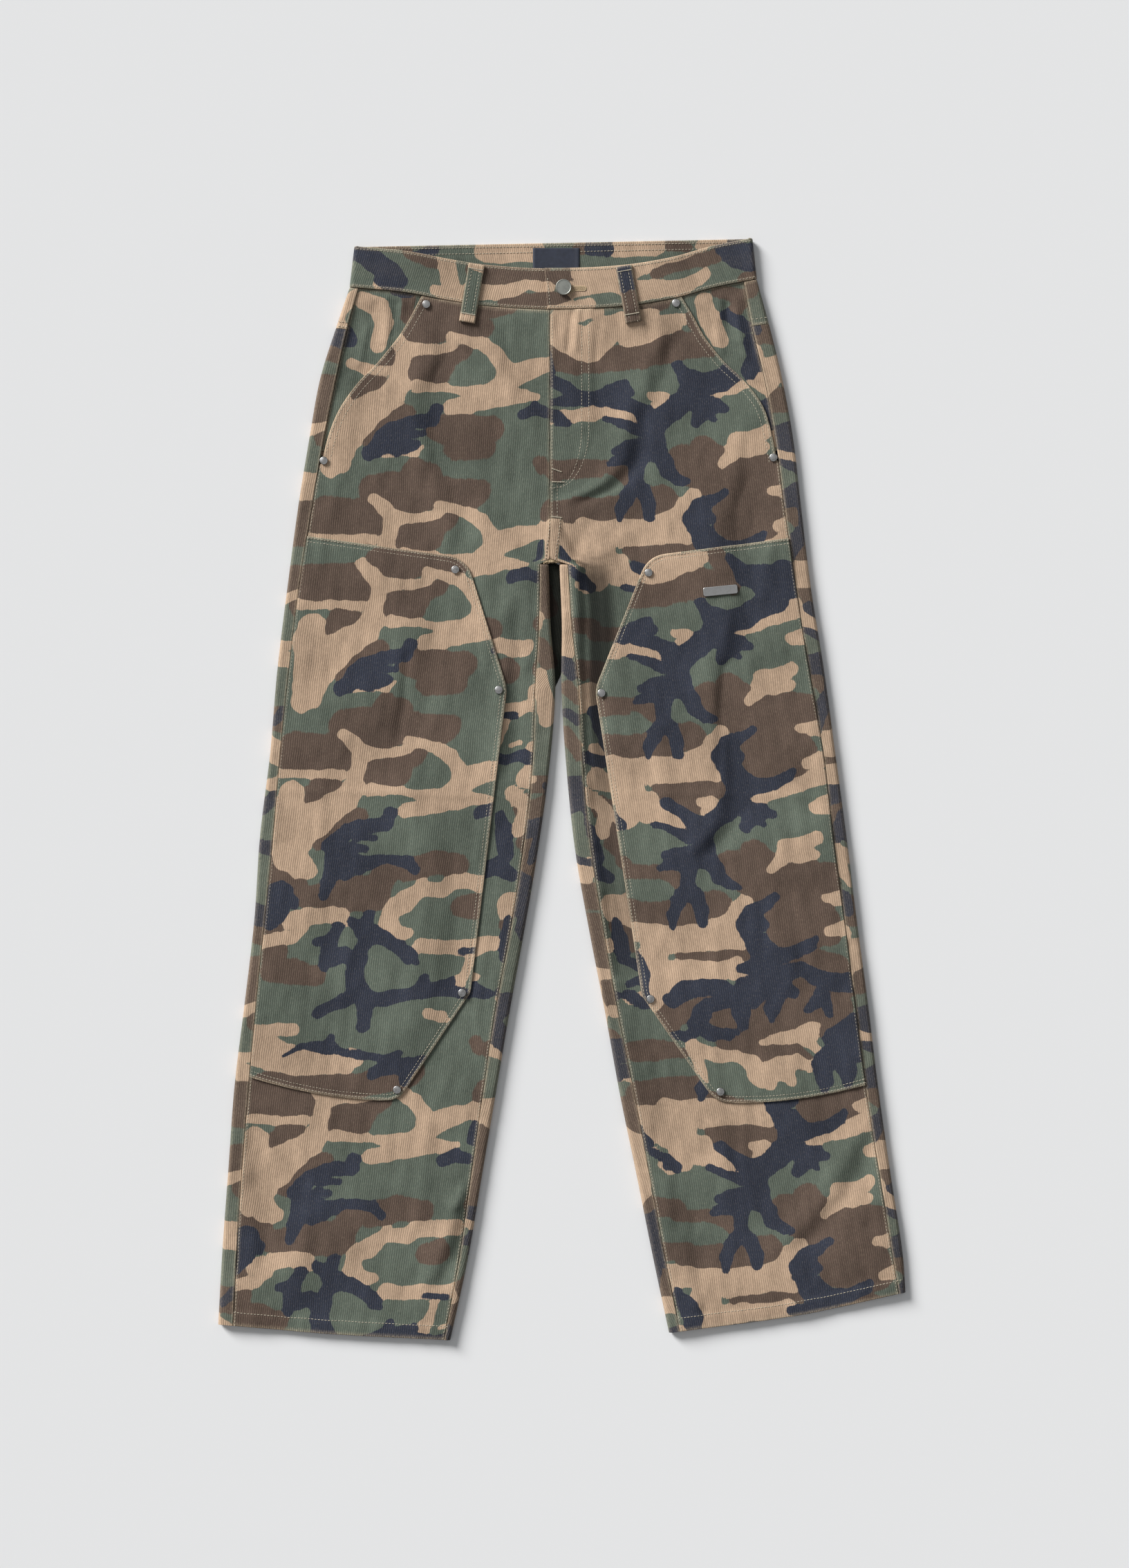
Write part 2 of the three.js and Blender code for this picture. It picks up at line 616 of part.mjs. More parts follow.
// ---- waistband --------------------------------------------------------------------------------
// Underside of the front half of the band: the right end dips under the left one at the fly.
function bandUnderside(x, over) {
  if (over) return mix(BAND_OVER_Z, BAND_LEFT_Z, ease(BAND_LEVEL.from, BAND_LEVEL.to, x));
  return mix(BAND_RIGHT_Z, BAND_UNDER_Z, ease(BAND_DIP.from, BAND_DIP.to, x));
}

const bandTop = (x) => bandUnderside(x, x > BAND_OVER_END.x) + BAND_CLOTH;

// Middle line of the band along its lower edge: from the end that lies below at the fly, round
// the right fold, along the back, round the left fold and back to the end that lies on top.
function bandPath() {
  const half = BAND_CLOTH / 2;
  const path = [];
  const front = (from, to, over, columns) => {
    for (let k = 0; k <= columns; k += 1) {
      const x = mix(from, to, k / columns);
      path.push({ x, z: bandUnderside(x, over) + half, y: waistY(x), level: 1 });
    }
  };
  const fold = (at, frontZ, s, downwards) => {
    const turn = (frontZ - half) / 2;
    const centre = at.x - s * (turn + half);
    for (let k = 1; k < TURN_STEPS; k += 1) {
      const angle = Math.PI * (downwards ? k / TURN_STEPS : 1 - k / TURN_STEPS);
      const z = half + turn + turn * Math.cos(angle);
      path.push({ x: centre + s * turn * Math.sin(angle), z, y: at.y });
    }
    return centre;
  };
  const rightZ = BAND_RIGHT_Z + half;
  const leftZ = BAND_LEFT_Z + half;
  const rightTurn = BAND_FOLD_RIGHT.x + (rightZ + half) / 2;
  const leftTurn = BAND_FOLD_LEFT.x - (leftZ + half) / 2;
  front(BAND_UNDER_END, rightTurn, false, BAND_COLUMNS);
  fold(BAND_FOLD_RIGHT, rightZ, -1, true);
  for (let k = 0; k <= BAND_COLUMNS; k += 1) {
    const x = mix(rightTurn, leftTurn, k / BAND_COLUMNS);
    path.push({ x, z: half, y: backWaistY(x), level: -1 });
  }
  fold(BAND_FOLD_LEFT, leftZ, 1, false);
  front(leftTurn, BAND_OVER_END.x, true, BAND_COLUMNS);
  return path;
}

function waistband() {
  const path = bandPath();
  const last = path.length - 1;
  const paths = [0, 0.5, 1].map((v) =>
    path.map((p, i) => {
      const lean = BAND_OVER_END.lean * v * Math.max(0, 1 - (last - i) / LEANING_COLUMNS);
      const y = p.y + SEAM_GAP / 2 + v * (BAND_HEIGHT - SEAM_GAP / 2);
      return { ...p, x: p.x * (1 - BAND_TAPER * v) + lean, y };
    }));
  const [outside, inside] = wallFaces(paths, BAND_CLOTH, -1);
  return sheetBody(outside, inside);
}

function waistLabel() {
  const { x0, x1, y0, y1, thick } = LABEL;
  const base = BAND_CLOTH + SEAM_GAP;
  const shape = new THREE.BoxGeometry(x1 - x0, y1 - y0, thick);
  shape.translate((x0 + x1) / 2, (y0 + y1) / 2, base + thick / 2);
  return shape;
}

// ---- belt loops -------------------------------------------------------------------------------
// Lies on the band and then drops on to the panel below the waist seam.
function beltLoop(leg) {
  const { top, bottom } = leg.loop;
  const lean = (top.x - bottom.x) / (top.y - bottom.y);
  const baseAt = (x, y) => {
    const onBand = bandTop(x) + SEAM_GAP;
    const onPanel = Math.min(PANEL_HIGHEST + SEAM_GAP, onBand);
    return mix(onPanel, onBand, ease(waistY(x) - LOOP_STEP.from, waistY(x) - LOOP_STEP.to, y));
  };
  const places = Array.from({ length: LOOP_ROWS + 1 }, (_, j) => {
    const v = j / LOOP_ROWS;
    return [-LOOP_WIDTH / 2, 0, LOOP_WIDTH / 2].map((across) => ({
      x: mix(bottom.x, top.x, v) + across,
      y: mix(bottom.y, top.y, v) - across * lean,
    }));
  });
  const steepness = (x) =>
    Math.max(bandTop(x - LOOP_WIDTH / 2), bandTop(x + LOOP_WIDTH / 2)) - bandTop(x);
  return laidSheet(places, (x, y) => baseAt(x, y) + steepness(x) + LOOP_CLOTH, LOOP_CLOTH);
}

// ---- metal ------------------------------------------------------------------------------------
// The highest cloth under a small round piece.
function restOn(x, y, radius, topAt) {
  let highest = topAt(x, y);
  for (let k = 0; k < RING_POINTS; k += 1) {
    const angle = (k / RING_POINTS) * 2 * Math.PI;
    highest = Math.max(highest, topAt(x + radius * Math.cos(angle), y + radius * Math.sin(angle)));
  }
  return highest + SEAM_GAP;
}

function turned(section, segments) {
  const points = section.map(({ out, up }) => new THREE.Vector2(out, up));
  const shape = new THREE.LatheGeometry(points, segments);
  shape.rotateX(Math.PI / 2);
  return shape;
}

function rivet(x, y, topAt) {
  const shape = turned(RIVET_SECTION, RIVET_STEPS);
  shape.translate(x, y, restOn(x, y, RIVET_RADIUS, topAt));
  return shape;
}

function shankButton() {
  const { x, y, shank } = BUTTON;
  const shape = turned(BUTTON_SECTION, BUTTON_STEPS);
  shape.translate(x, y, restOn(x, y, shank, bandTop));
  return shape;
}

function legPlate() {
  const { x, y, wide, tall, thick, round, turn, steps } = PLATE;
  const outline = new THREE.Shape();
  const w = wide / 2;
  const h = tall / 2;
  outline.moveTo(-w + round, -h);
  outline.lineTo(w - round, -h);
  outline.absarc(w - round, -h + round, round, -Math.PI / 2, 0);
  outline.absarc(w - round, h - round, round, 0, Math.PI / 2);
  outline.absarc(-w + round, h - round, round, Math.PI / 2, Math.PI);
  outline.absarc(-w + round, -h + round, round, Math.PI, 1.5 * Math.PI);
  const settings = { depth: thick, bevelEnabled: false, curveSegments: steps };
  const shape = new THREE.ExtrudeGeometry(outline, settings);
  shape.rotateZ(turn);
  const base = restOn(x, y, wide / 2, (px, py) => kneeTop(LEFT_LEG, px, py));
  shape.translate(x, y, base);
  return shape;
}

// ---- materials --------------------------------------------------------------------------------
const cloth = (color) => new THREE.MeshStandardMaterial({ color, roughness: 0.9, metalness: 0 });
const TAN = cloth('#ba9b7c');
const GREEN = cloth('#4e5d4b');
const BROWN = cloth('#5e4c40');
const NAVY = cloth('#2d3448');
const STEEL = new THREE.MeshStandardMaterial({ color: '#b9bcc0', roughness: 0.3, metalness: 1 });
const PEWTER = new THREE.MeshStandardMaterial({ color: '#7d8084', roughness: 0.45, metalness: 1 });

// ---- the garment ------------------------------------------------------------------------------
const trousers = new THREE.Group();
for (const leg of LEGS) {
  trousers.add(named(`front_${leg.name}`, frontPanel(leg), GREEN));
  trousers.add(named(`back_${leg.name}`, backPanel(leg), BROWN));
  trousers.add(named(`yoke_${leg.name}`, yoke(leg), BROWN));
  trousers.add(named(`pocket_facing_${leg.name}`, pocketFacing(leg), NAVY));
  trousers.add(named(`knee_panel_${leg.name}`, kneePanel(leg), TAN));
  trousers.add(named(`belt_loop_${leg.name}`, beltLoop(leg), TAN));
  leg.mouthRivets.forEach(({ x, y }, k) => {
    const shape = rivet(x, y, (px, py) => frontTop(leg, px, py));
    trousers.add(named(`rivet_pocket_${leg.name}_${k + 1}`, shape, STEEL));
  });
  leg.kneeRivets.forEach(({ x, y }, k) => {
    const shape = rivet(x, y, (px, py) => kneeTop(leg, px, py));
    trousers.add(named(`rivet_knee_${leg.name}_${k + 1}`, shape, STEEL));
  });
}
trousers.add(named('waistband', waistband(), TAN));
trousers.add(named('waist_label', waistLabel(), NAVY));
trousers.add(named('fly_button', shankButton(), PEWTER));
trousers.add(named('leg_plate', legPlate(), STEEL));

export default trousers;
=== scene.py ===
"""Carpenter trousers in printed corduroy, laid flat: the finish of every piece.

Written as a Blender add-on and run as a script. Tables and formulas are in millimetres and every
mesh is made in metres. X runs across and the wearer's right leg is at -X, Y runs up to the waist.
"""

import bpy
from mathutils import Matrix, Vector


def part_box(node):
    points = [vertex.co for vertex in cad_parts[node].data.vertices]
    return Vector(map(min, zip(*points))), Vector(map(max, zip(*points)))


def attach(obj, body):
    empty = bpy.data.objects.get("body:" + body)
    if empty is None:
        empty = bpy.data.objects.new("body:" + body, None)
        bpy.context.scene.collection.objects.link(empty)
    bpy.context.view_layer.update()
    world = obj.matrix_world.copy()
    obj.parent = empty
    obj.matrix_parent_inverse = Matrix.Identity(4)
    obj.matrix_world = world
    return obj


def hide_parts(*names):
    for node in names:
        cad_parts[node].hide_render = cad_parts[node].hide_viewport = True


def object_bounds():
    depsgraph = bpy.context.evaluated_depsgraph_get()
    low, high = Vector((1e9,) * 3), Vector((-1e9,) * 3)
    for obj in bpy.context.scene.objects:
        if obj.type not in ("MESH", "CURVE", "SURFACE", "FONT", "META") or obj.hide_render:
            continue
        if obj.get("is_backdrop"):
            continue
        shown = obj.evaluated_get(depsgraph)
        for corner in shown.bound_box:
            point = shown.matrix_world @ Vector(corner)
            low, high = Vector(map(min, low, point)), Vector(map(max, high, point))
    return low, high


bl_info = {
    "name": "Carpenter Trousers",
    "version": (1, 0, 0),
    "blender": (4, 5, 0),
    "location": "View3D > Sidebar > Trousers",
    "description": "Dresses flat-laid corduroy carpenter trousers: cloth, sewing and metal trim",
    "category": "Object",
}

from functools import partial
from types import SimpleNamespace

import bpy
import numpy as np
from mathutils import Matrix, Vector, kdtree

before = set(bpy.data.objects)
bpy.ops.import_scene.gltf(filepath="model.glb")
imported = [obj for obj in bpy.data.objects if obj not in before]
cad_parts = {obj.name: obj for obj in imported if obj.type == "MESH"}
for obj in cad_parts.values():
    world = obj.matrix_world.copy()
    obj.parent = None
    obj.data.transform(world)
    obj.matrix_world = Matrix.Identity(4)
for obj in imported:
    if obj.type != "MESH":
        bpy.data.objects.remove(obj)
cad_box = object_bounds()

MM = 0.001

# ---- cloth and layers, in millimetres ----------------------------------------------------------
CLOTH = 2.0
SEAM_GAP = 0.3
LAY_GAP = 0.4
FOLD_HEIGHT = 7.8
PANEL_EDGE = 7.2
PANEL_MIDDLE = 6.0
PANEL_LOWEST = 4.6
PANEL_HIGHEST = 7.6
EDGE_SOFTNESS = 30.0
HEM_HEIGHT = 14.0
HEM_RISE = 0.8
CENTRE_X = -11.0
CROTCH_Y = 222.0
CROTCH_STEP = 4.0
FLY_END_Y = 300.0
FLY_RISE = 1.1
FLY_WIDTH = 38.0
FLY_EDGE_DROP = 0.9
FLY_FACING = 42.0  # width of the fly's facing, whose edge shows through
FLY_FACING_BEND = (292, 352)  # heights between which that edge bends in
MOUTH_RISE = 0.7
MOUTH_SOFTNESS = 24.0
WAIST_RISE = 0.9
YOKE_BACK_Y = 428.0
YOKE_ROWS = 50.0  # height that the yoke's rows of points are spaced for
FACING_ROWS = 160.0  # and the facing's
FACING_CLOTH = 1.4
FACING_TUCK = 15.0
FACING_LOWER_Y = 332.0
KNEE_CLOTH = 1.8
KNEE_GAP = 0.55
BAND_HEIGHT = 40.5
BAND_CLOTH = 2.6
BAND_TAPER = 0.023
BAND_RIGHT_Z = 6.4
BAND_UNDER_Z = 3.8
BAND_OVER_Z = 6.7
BAND_LEFT_Z = 6.5
BAND_UNDER_END_X = 24.0
BAND_OVER_END_X = -13.5
BAND_OVER_LEAN = -3.2
LOOP_WIDTH = 15.5
LOOP_CLOTH = 2.4
RIVET_REACH = 4.0  # radius over which the cloth under a rivet cap is felt
PLATE_SIZE = (34.0, 9.0)
PLATE_CORNER = 2.2
PLATE_TURN = 0.1  # radians
PLATE_POINTS = 96
RIVET_FEELERS = 12  # places round a cap where the cloth is felt
CAP_CLEAR = 0.02  # between a cap and the highest cloth under it
CELL = 2.5  # grid spacing on cloth that shows
STRIP_HALF = 6.8  # half the width of the strip at the foot of the centre seam
STRIP_TOP = (-6.0, 266.0)  # the place of its middle at the top
STRIP_FOOT = (-10.5, 224.0)  # and at the foot
FOLD_LIFT = 2.6  # millimetres for a fold of lift 1
PUCKER_LIFT = 0.28
PUCKER_INSET = 4.5  # gathers are highest this far in from their seam
STEP_PEAK = 2.33  # makes a long fold as high and as deep as its lift
FOLD_STEPS = 12  # round a folded edge
# Painted shade in the hollow beside the left inseam: how dark it is drawn, the heights where it starts,
# fades and ends, and how far to each side of its line it reaches.
HOLLOW_PAINTED_SHADE = 0.92
HOLLOW_TOP = (240, 205)
HOLLOW_FADE = (-60, 90)
HOLLOW_FOOT = (-230, -150)
HOLLOW_SIDES = ((-1, 7), (38, 20))
EDGE_STOPS = (0.0, 0.3, 0.9, 1.8)  # extra lines of points beside a raw or folded edge
STRIP_STOPS = (0, 0.15, 0.45, 0.9, 1.8, 3.2, 4.8, 6.4, 8.2)  # tenths of the way to a back's fold
FLOOR_STEPS = 14  # across a back, underneath
FOLDED_FROM = len(STRIP_STOPS) + FOLD_STEPS + 1 + FLOOR_STEPS - 1  # first column up the inner fold
MEETING_ROUNDS = 6  # rounds in which two lines are brought to meet
WELL_OUT = 220.0  # an x outside either leg, to start them from
LIFT_OFF = 0.1  # air left between two layers that nearly touch
# The lowest top of a front where a facing lies under it.
FACING_CLEAR = CLOTH + SEAM_GAP + FACING_CLOTH + CLOTH + 0.15
# The stage, in metres but for the sensor: the place under the camera, the floor and its height.
VIEW_CENTRE = (0.0031, 0.0048)
FLOOR_HALF = 9
FLOOR_Z = -0.0002
SENSOR = 36.0  # millimetres


def table(columns, *rows):
    """A small table: one array for each named column."""
    return dict(zip(columns.split(), np.array(rows, float).T))


# ---- lines of the garment ----------------------------------------------------------------------
BAND_FOLDS = table("x y", (-208, 492), (192, 500))
WAIST_SEAM = table(
    "x y", (-208, 492), (-154, 487), (-113, 479.5), (-75, 474), (-15, 470.5), (57, 473),
    (110, 481), (151, 492), (192, 500))

# Each leg: its outer fold and side seam, its inseam and inner fold, its hem, its pocket mouth, its
# double-knee panel with the round of each corner, its belt loop, and its creases. `lift` is how
# far a crease stands up, or sinks where it is negative.
RIGHT = SimpleNamespace(
    name="right", sign=-1.0, yoke_y=452.0,
    side=table(
        "y outer seam", (492, -208, -199), (452, -221.5, -210), (402, -237, -221),
        (341, -248, -233.5), (280, -258, -244), (198, -269, -257), (116, -279, -267),
        (35, -286, -275.5), (-47, -296, -282.5), (-128, -301.5, -290.5), (-210, -311, -299),
        (-292, -321, -306.5), (-373, -327, -313), (-455, -333, -318.5), (-526, -337, -322)),
    inner=table(
        "y seam fold", (222, -21, -12.5), (160, -22, -10.5), (100, -25.5, -6), (20, -28.5, -12),
        (-60, -37.5, -23), (-140, -50, -36.5), (-220, -65, -51), (-300, -77, -64.5),
        (-380, -88.5, -78), (-460, -100, -91.5), (-541, -115, -109)),
    hem=table("x y", (-337, -525.5), (-228, -535), (-109, -541)),
    mouth=table(
        "y x", (484, -137), (460, -150), (443, -160.5), (419, -180), (398, -200), (372, -218),
        (345, -229), (318, -235.5)),
    knee_top=248.0, knee_bottom=-282.0, knee_bow=-5.0,
    knee=table("x y round", (-93, 226.5, 30), (-53, 99, 35), (-89, -200, 12), (-161, -308, 25)),
    loop=table("x y", (-92.5, 457.5), (-83, 514.5)),
    creases=table(
        "x0 y0 x1 y1 wide lift", (-40, 372, -12, 322, 12, -0.9), (-118, 380, -120, 262, 20, -0.8),
        (-150, 150, -166, 20, 22, -0.7), (-92, -380, -100, -455, 12, -1.2),
        (-128, -468, -158, -500, 13, -1.1)),
    folds=table(
        "x0 y0 x1 y1 wide lift", (-165, 470, -172, 432, 5, 0.5), (-190, 452, -198, 418, 4, 0.4),
        (-55, 262, -26, 228, 9, -0.6), (-80, 246, -40, 205, 8, 0.5), (-60, 455, -62, 415, 7, 0.4),
        (-150, 130, -160, 50, 5, -0.45), (-232, 20, -238, -60, 7, 0.4),
        (-205, -120, -214, -200, 9, 0.45), (-130, -330, -140, -420, 8, 0.4),
        (-96, -392, -104, -410, 5, 0.7), (-250, -420, -262, -500, 9, 0.45),
        (-60, 60, -66, -30, 7, 0.4), (-220, 300, -226, 258, 7, 0.4),
        (-134, 470, -104, 446, 5, -0.3), (-128, 462, -96, 436, 6, 0.3), (-168, 478, -158, 446, 4, -0.4),
        (-62, 200, -56, 126, 8, -0.55), (-78, 200, -72, 120, 10, 0.35), (-32, 205, -34, 120, 5, 0.3),
        (-272, -2, -72, -7, 3.5, 0.16),
        (-296, -322, -252, -386, 6, -0.35), (-288, -312, -246, -370, 6, 0.3),
        (-300, -400, -270, -470, 8, 0.3),
        (-200, -440, -150, -500, 7, -0.3), (-214, 200, -180, 150, 10, 0.25),
        (-196, 330, -150, 300, 12, -0.25),
        (-110, 300, -50, 285, 10, 0.25), (-240, 120, -216, 60, 9, -0.25)),
    drops=(
        (1.8, 17, table("y x", (461, -128), (426, -121), (381, -137), (330, -124), (291, -112),
          (246, -99))),
        (1.7, 15, table("y x", (465, -78), (420, -56), (380, -32), (345, -14))),
        (1.8, 12, table("y x", (180, -50), (120, -50), (60, -52), (20, -56))),
        (1.6, 22, table("y x", (180, -128), (120, -142), (58, -160))),
        (1.8, 26, table("y x", (0, -140), (-60, -120), (-120, -112), (-246, -130))),
        (2.0, 13, table("y x", (-400, -92), (-440, -104), (-490, -128))),
        (1.5, 14, table("y x", (-336, -310), (-400, -304), (-470, -292)))))
LEFT = SimpleNamespace(
    name="left", sign=1.0, yoke_y=456.0,
    side=table(
        "y outer seam", (500, 192, 178.5), (452, 205, 187.5), (402, 217, 199.5),
        (341, 228, 210.5), (280, 235, 218.5), (198, 245, 230), (116, 258, 243), (35, 269, 257),
        (-47, 280, 266.5), (-128, 290, 277.5), (-210, 301, 288), (-292, 311, 298.5),
        (-373, 322.5, 311.5), (-455, 335, 324.5), (-494, 338, 331)),
    inner=table(
        "y seam fold", (222, 6.5, -2), (160, 10.5, 0.5), (100, 17, 0), (20, 21.5, 5),
        (-60, 29.5, 13.5), (-140, 42, 27.5), (-220, 56, 43), (-300, 72, 57.5), (-380, 87, 74),
        (-460, 102, 90), (-533, 116.5, 105.5)),
    hem=table("x y", (105, -534), (237, -516), (338, -494)),
    mouth=table(
        "y x", (486, 116), (461, 131), (443, 141), (419, 160), (401, 179), (376, 197.5),
        (350, 206), (322, 211.5)),
    knee_top=246.0, knee_bottom=-290.0, knee_bow=-5.0,
    knee=table("x y round", (85, 228.5, 30), (33, 98, 35), (79, -203, 10), (153, -310, 30)),
    loop=table("x y", (71, 457.5), (61, 512.5)),
    creases=table(
        "x0 y0 x1 y1 wide lift", (28, 205, 28, 20, 11, -1.9), (28, 20, 52, -180, 9, -1.4),
        (188, 345, 164, 235, 15, -1.2), (160, 120, 152, 10, 16, -0.8), (60, 300, 22, 250, 16, 0.6)),
    folds=table(
        "x0 y0 x1 y1 wide lift", (150, 470, 156, 430, 5, 0.5), (172, 470, 180, 425, 4, 0.4),
        (30, 262, 8, 226, 8, -0.6), (64, 250, 22, 214, 8, 0.5), (96, 460, 96, 410, 7, 0.4),
        (160, 120, 152, 0, 5, -0.45), (222, 40, 236, -40, 7, 0.4), (206, -120, 222, -190, 9, 0.45),
        (150, -330, 172, -430, 8, 0.4), (118, -440, 132, -505, 7, 0.45),
        (270, -400, 288, -470, 9, 0.45), (206, 232, 196, 190, 7, 0.4), (96, 60, 104, -20, 8, 0.4),
        (0, 260, 27, 206, 4, -0.6), (8, 262, 40, 212, 6, 0.4), (28, 212, 31, 40, 8, -1.3),
        (14, 214, 18, 40, 5, 0.5), (24, 36, 50, -190, 4, 0.35),
        (36, 30, 62, -180, 8, -0.8),
        (10, 466, 6, 430, 3, -0.35), (17, 468, 14, 432, 3, 0.35), (38, 460, 34, 418, 4, -0.25),
        (70, -4, 262, -8, 3.5, 0.16), (120, 300, 180, 280, 12, -0.25), (60, 360, 110, 330, 11, 0.25),
        (140, -360, 190, -430, 9, -0.3), (232, -330, 262, -380, 8, 0.3), (170, 60, 220, 20, 12, 0.2),
        (300, -430, 316, -480, 7, -0.3), (120, 180, 170, 150, 10, 0.22)),
    drops=(
        (1.8, 12, table("y x", (264, 2), (228, 14), (190, 22), (160, 24), (94, 24), (22, 28), (-67, 36),
          (-157, 52),
                        (-202, 62))),
        (2.1, 13, table("y x", (375, 74), (350, 72), (318, 64), (296, 42), (282, 14))),
        (2.2, 16, table("y x", (350, 192), (300, 180), (246, 169), (175, 173), (94, 156), (22, 164),
          (-31, 159),
                        (-67, 134))),
        (1.5, 13, table("y x", (445, 106), (410, 92), (378, 84))),
        (1.9, 18, table("y x", (-336, 300), (-390, 273), (-452, 228))),
        (1.7, 24, table("y x", (-220, 64), (-300, 84), (-400, 112), (-470, 128)))))
LEGS = (RIGHT, LEFT)

# How far the wales lean: sideways run for each millimetre up the leg.
LEAN = table("y right left", (-560, 0.12, -0.145), (100, 0.12, -0.145), (330, 0.07, -0.1), (560, 0.07, -0.1))

# ---- the printed cloth -------------------------------------------------------------------------
# One repeat of the camouflage, charted as strokes of colour over a green ground. Each row is
# a stroke as (x, y, radius) points. "spots" print in every band, "ground" prints once a repeat.
REPEAT_WIDTH = 490.0
REPEAT_HEIGHT = 570.0
BAND_STEP = -165.0  # the second printing of the spots lies this far below the first
SPOTS = {
    "brown": (
        ((-186, 18, 17), (-150, 17, 17), (-133, 9, 9)),
        ((-118, 40, 13), (-94, 40, 15), (-70, 42, 11), (-42, 37, 9)), ((-98, 60, 10), (-84, 58, 9)),
        ((-153, -15, 6), (-140, -15, 4)), ((-154, -15, 6), (-159, -24, 6), (-163, -33, 3)),
        ((-105, -4, 10), (-82, -1, 14), (-84, -9, 8)), ((-111, -13, 4), (-84, -13, 5)),
        ((-70, 8, 8), (-60, 12, 6)), ((-112, -46, 7), (-130, -58, 9), (-146, -70, 7)),
        ((60, -97, 5), (96, -97, 4), (111, -105, 6)),
        ((60, -137, 8), (92, -137, 9), (115, -136, 10), (146, -128, 11)),
        ((104, -178, 3), (124, -182, 6), (145, -180, 4), (166, -176, 5)),
        ((167, -90, 13), (178, -102, 14), (194, -110, 17), (216, -112, 19), (242, -106, 18),
         (266, -104, 14)),
        ((190, -80, 12), (205, -92, 9)), ((212, -136, 20), (236, -133, 20), (250, -142, 12)),
        ((208, -152, 15), (224, -154, 12), (250, -158, 9))),
    "tan": (
        ((-137, 35, 6.5), (-126, 26, 8), (-117, 16, 9), (-101, 15.5, 4.5), (-86, 16, 5), (-71, 19, 5)),
        ((-73, 29.5, 4.5), (-58, 26, 4.5), (-43, 21, 6.5), (-29, 13, 8), (-19, 1, 8), (-15, -10, 13)),
        ((-14, -14, 12), (-30, -25, 8), (-48, -25, 6), (-70, -21.5, 4), (-88, -21, 4.5), (-104, -20, 7)),
        ((-66, -40, 8), (-50, -37, 9), (-34, -33, 10), (-16, -29, 11), (2, -29, 6), (18, -29, 3)),
        ((-8, -8, 13), (12, -1, 10), (30, 4, 7)),
        ((-117, 16, 9), (-118, 3, 8.5), (-121, -9, 9), (-120, -18, 10)),
        ((-134, -5, 5), (-164, -4, 4.5), (-200, -4, 5)),
        ((-120, -18, 11), (-127, -27, 13), (-141, -39, 15), (-157, -51, 20), (-172, -60, 22),
         (-176, -82, 18)),
        ((-172, -60, 22), (-182, -40, 17), (-181, -25, 14)),
        ((88, -42, 7), (108, -42, 7), (120, -47, 6), (123, -53, 4)),
        ((143, -28, 5), (155, -29, 7)), ((152, -29, 6), (146, -38, 4.5)),
        ((191, -29, 2.5), (206, -25, 4), (225, -19, 5), (244, -10, 8), (264, -3, 10)),
        ((204, -95, 5), (215, -85, 7), (222, -73, 9), (238, -70, 8), (253, -63, 7)),
        ((222, -74, 9), (232, -80, 8), (250, -78, 5)), ((256, -33, 7), (272, -30, 10)),
        ((252, -122, 5), (270, -121, 9)), ((253, -155, 6), (270, -151, 8)),
        ((63, -155, 9), (77, -162, 13), (97, -162, 14), (117, -161, 14), (134, -159, 14), (148, -154, 13),
         (159, -147, 11), (165, -137, 10), (174, -127, 8), (177, -124, 5)),
        ((148, -164, 8), (163, -168, 7)), ((77, -174, 15), (75, -192, 15), (72, -208, 11))),
    "navy": (
        ((-82, -43, 6), (-84, -52, 6.5), (-96, -54, 6.5), (-110, -56, 7), (-124, -62, 7), (-132, -72, 9)),
        ((-112, -67, 4), (-94, -67, 3)),
        ((109, -29, 4), (123, -37, 5), (132, -47, 8), (140, -58, 11), (141, -72, 11), (136, -82, 10)),
        ((140, -60, 10), (152, -48, 9), (166, -39, 10), (178, -28, 11), (184, -14, 12)),
        ((184, -34, 9), (204, -36, 7), (214, -39, 4)), ((190, -44, 9), (184, -54, 5)),
        ((198, -44, 6), (203, -50, 3)), ((97, -50, 3), (110, -55, 4), (126, -62, 6)),
        ((102, -81, 4), (114, -79, 6), (129, -78, 8)), ((95, -94, 3), (107, -90, 5), (121, -88, 7)),
        ((140, -80, 9), (150, -92, 8), (152, -102, 7), (161, -109, 5), (169, -111, 3)),
        ((126, -84, 8), (122, -97, 7), (119, -115, 7), (108, -127, 6), (101, -138, 5.5), (99, -149, 3)),
        ((121, -112, 7), (127, -122, 7), (130, -134, 7), (129, -146, 5)),
        ((205, -121, 3.5), (191, -130, 5), (178, -137, 7), (169, -149, 8), (175, -157, 10), (179, -170, 11),
         (184, -178, 12), (199, -178, 7), (216, -176, 6), (232, -168, 5.5), (239, -161, 3)),
        ((180, -145, 7), (189, -148, 5)), ((186, -166, 8), (194, -170, 5))),
}
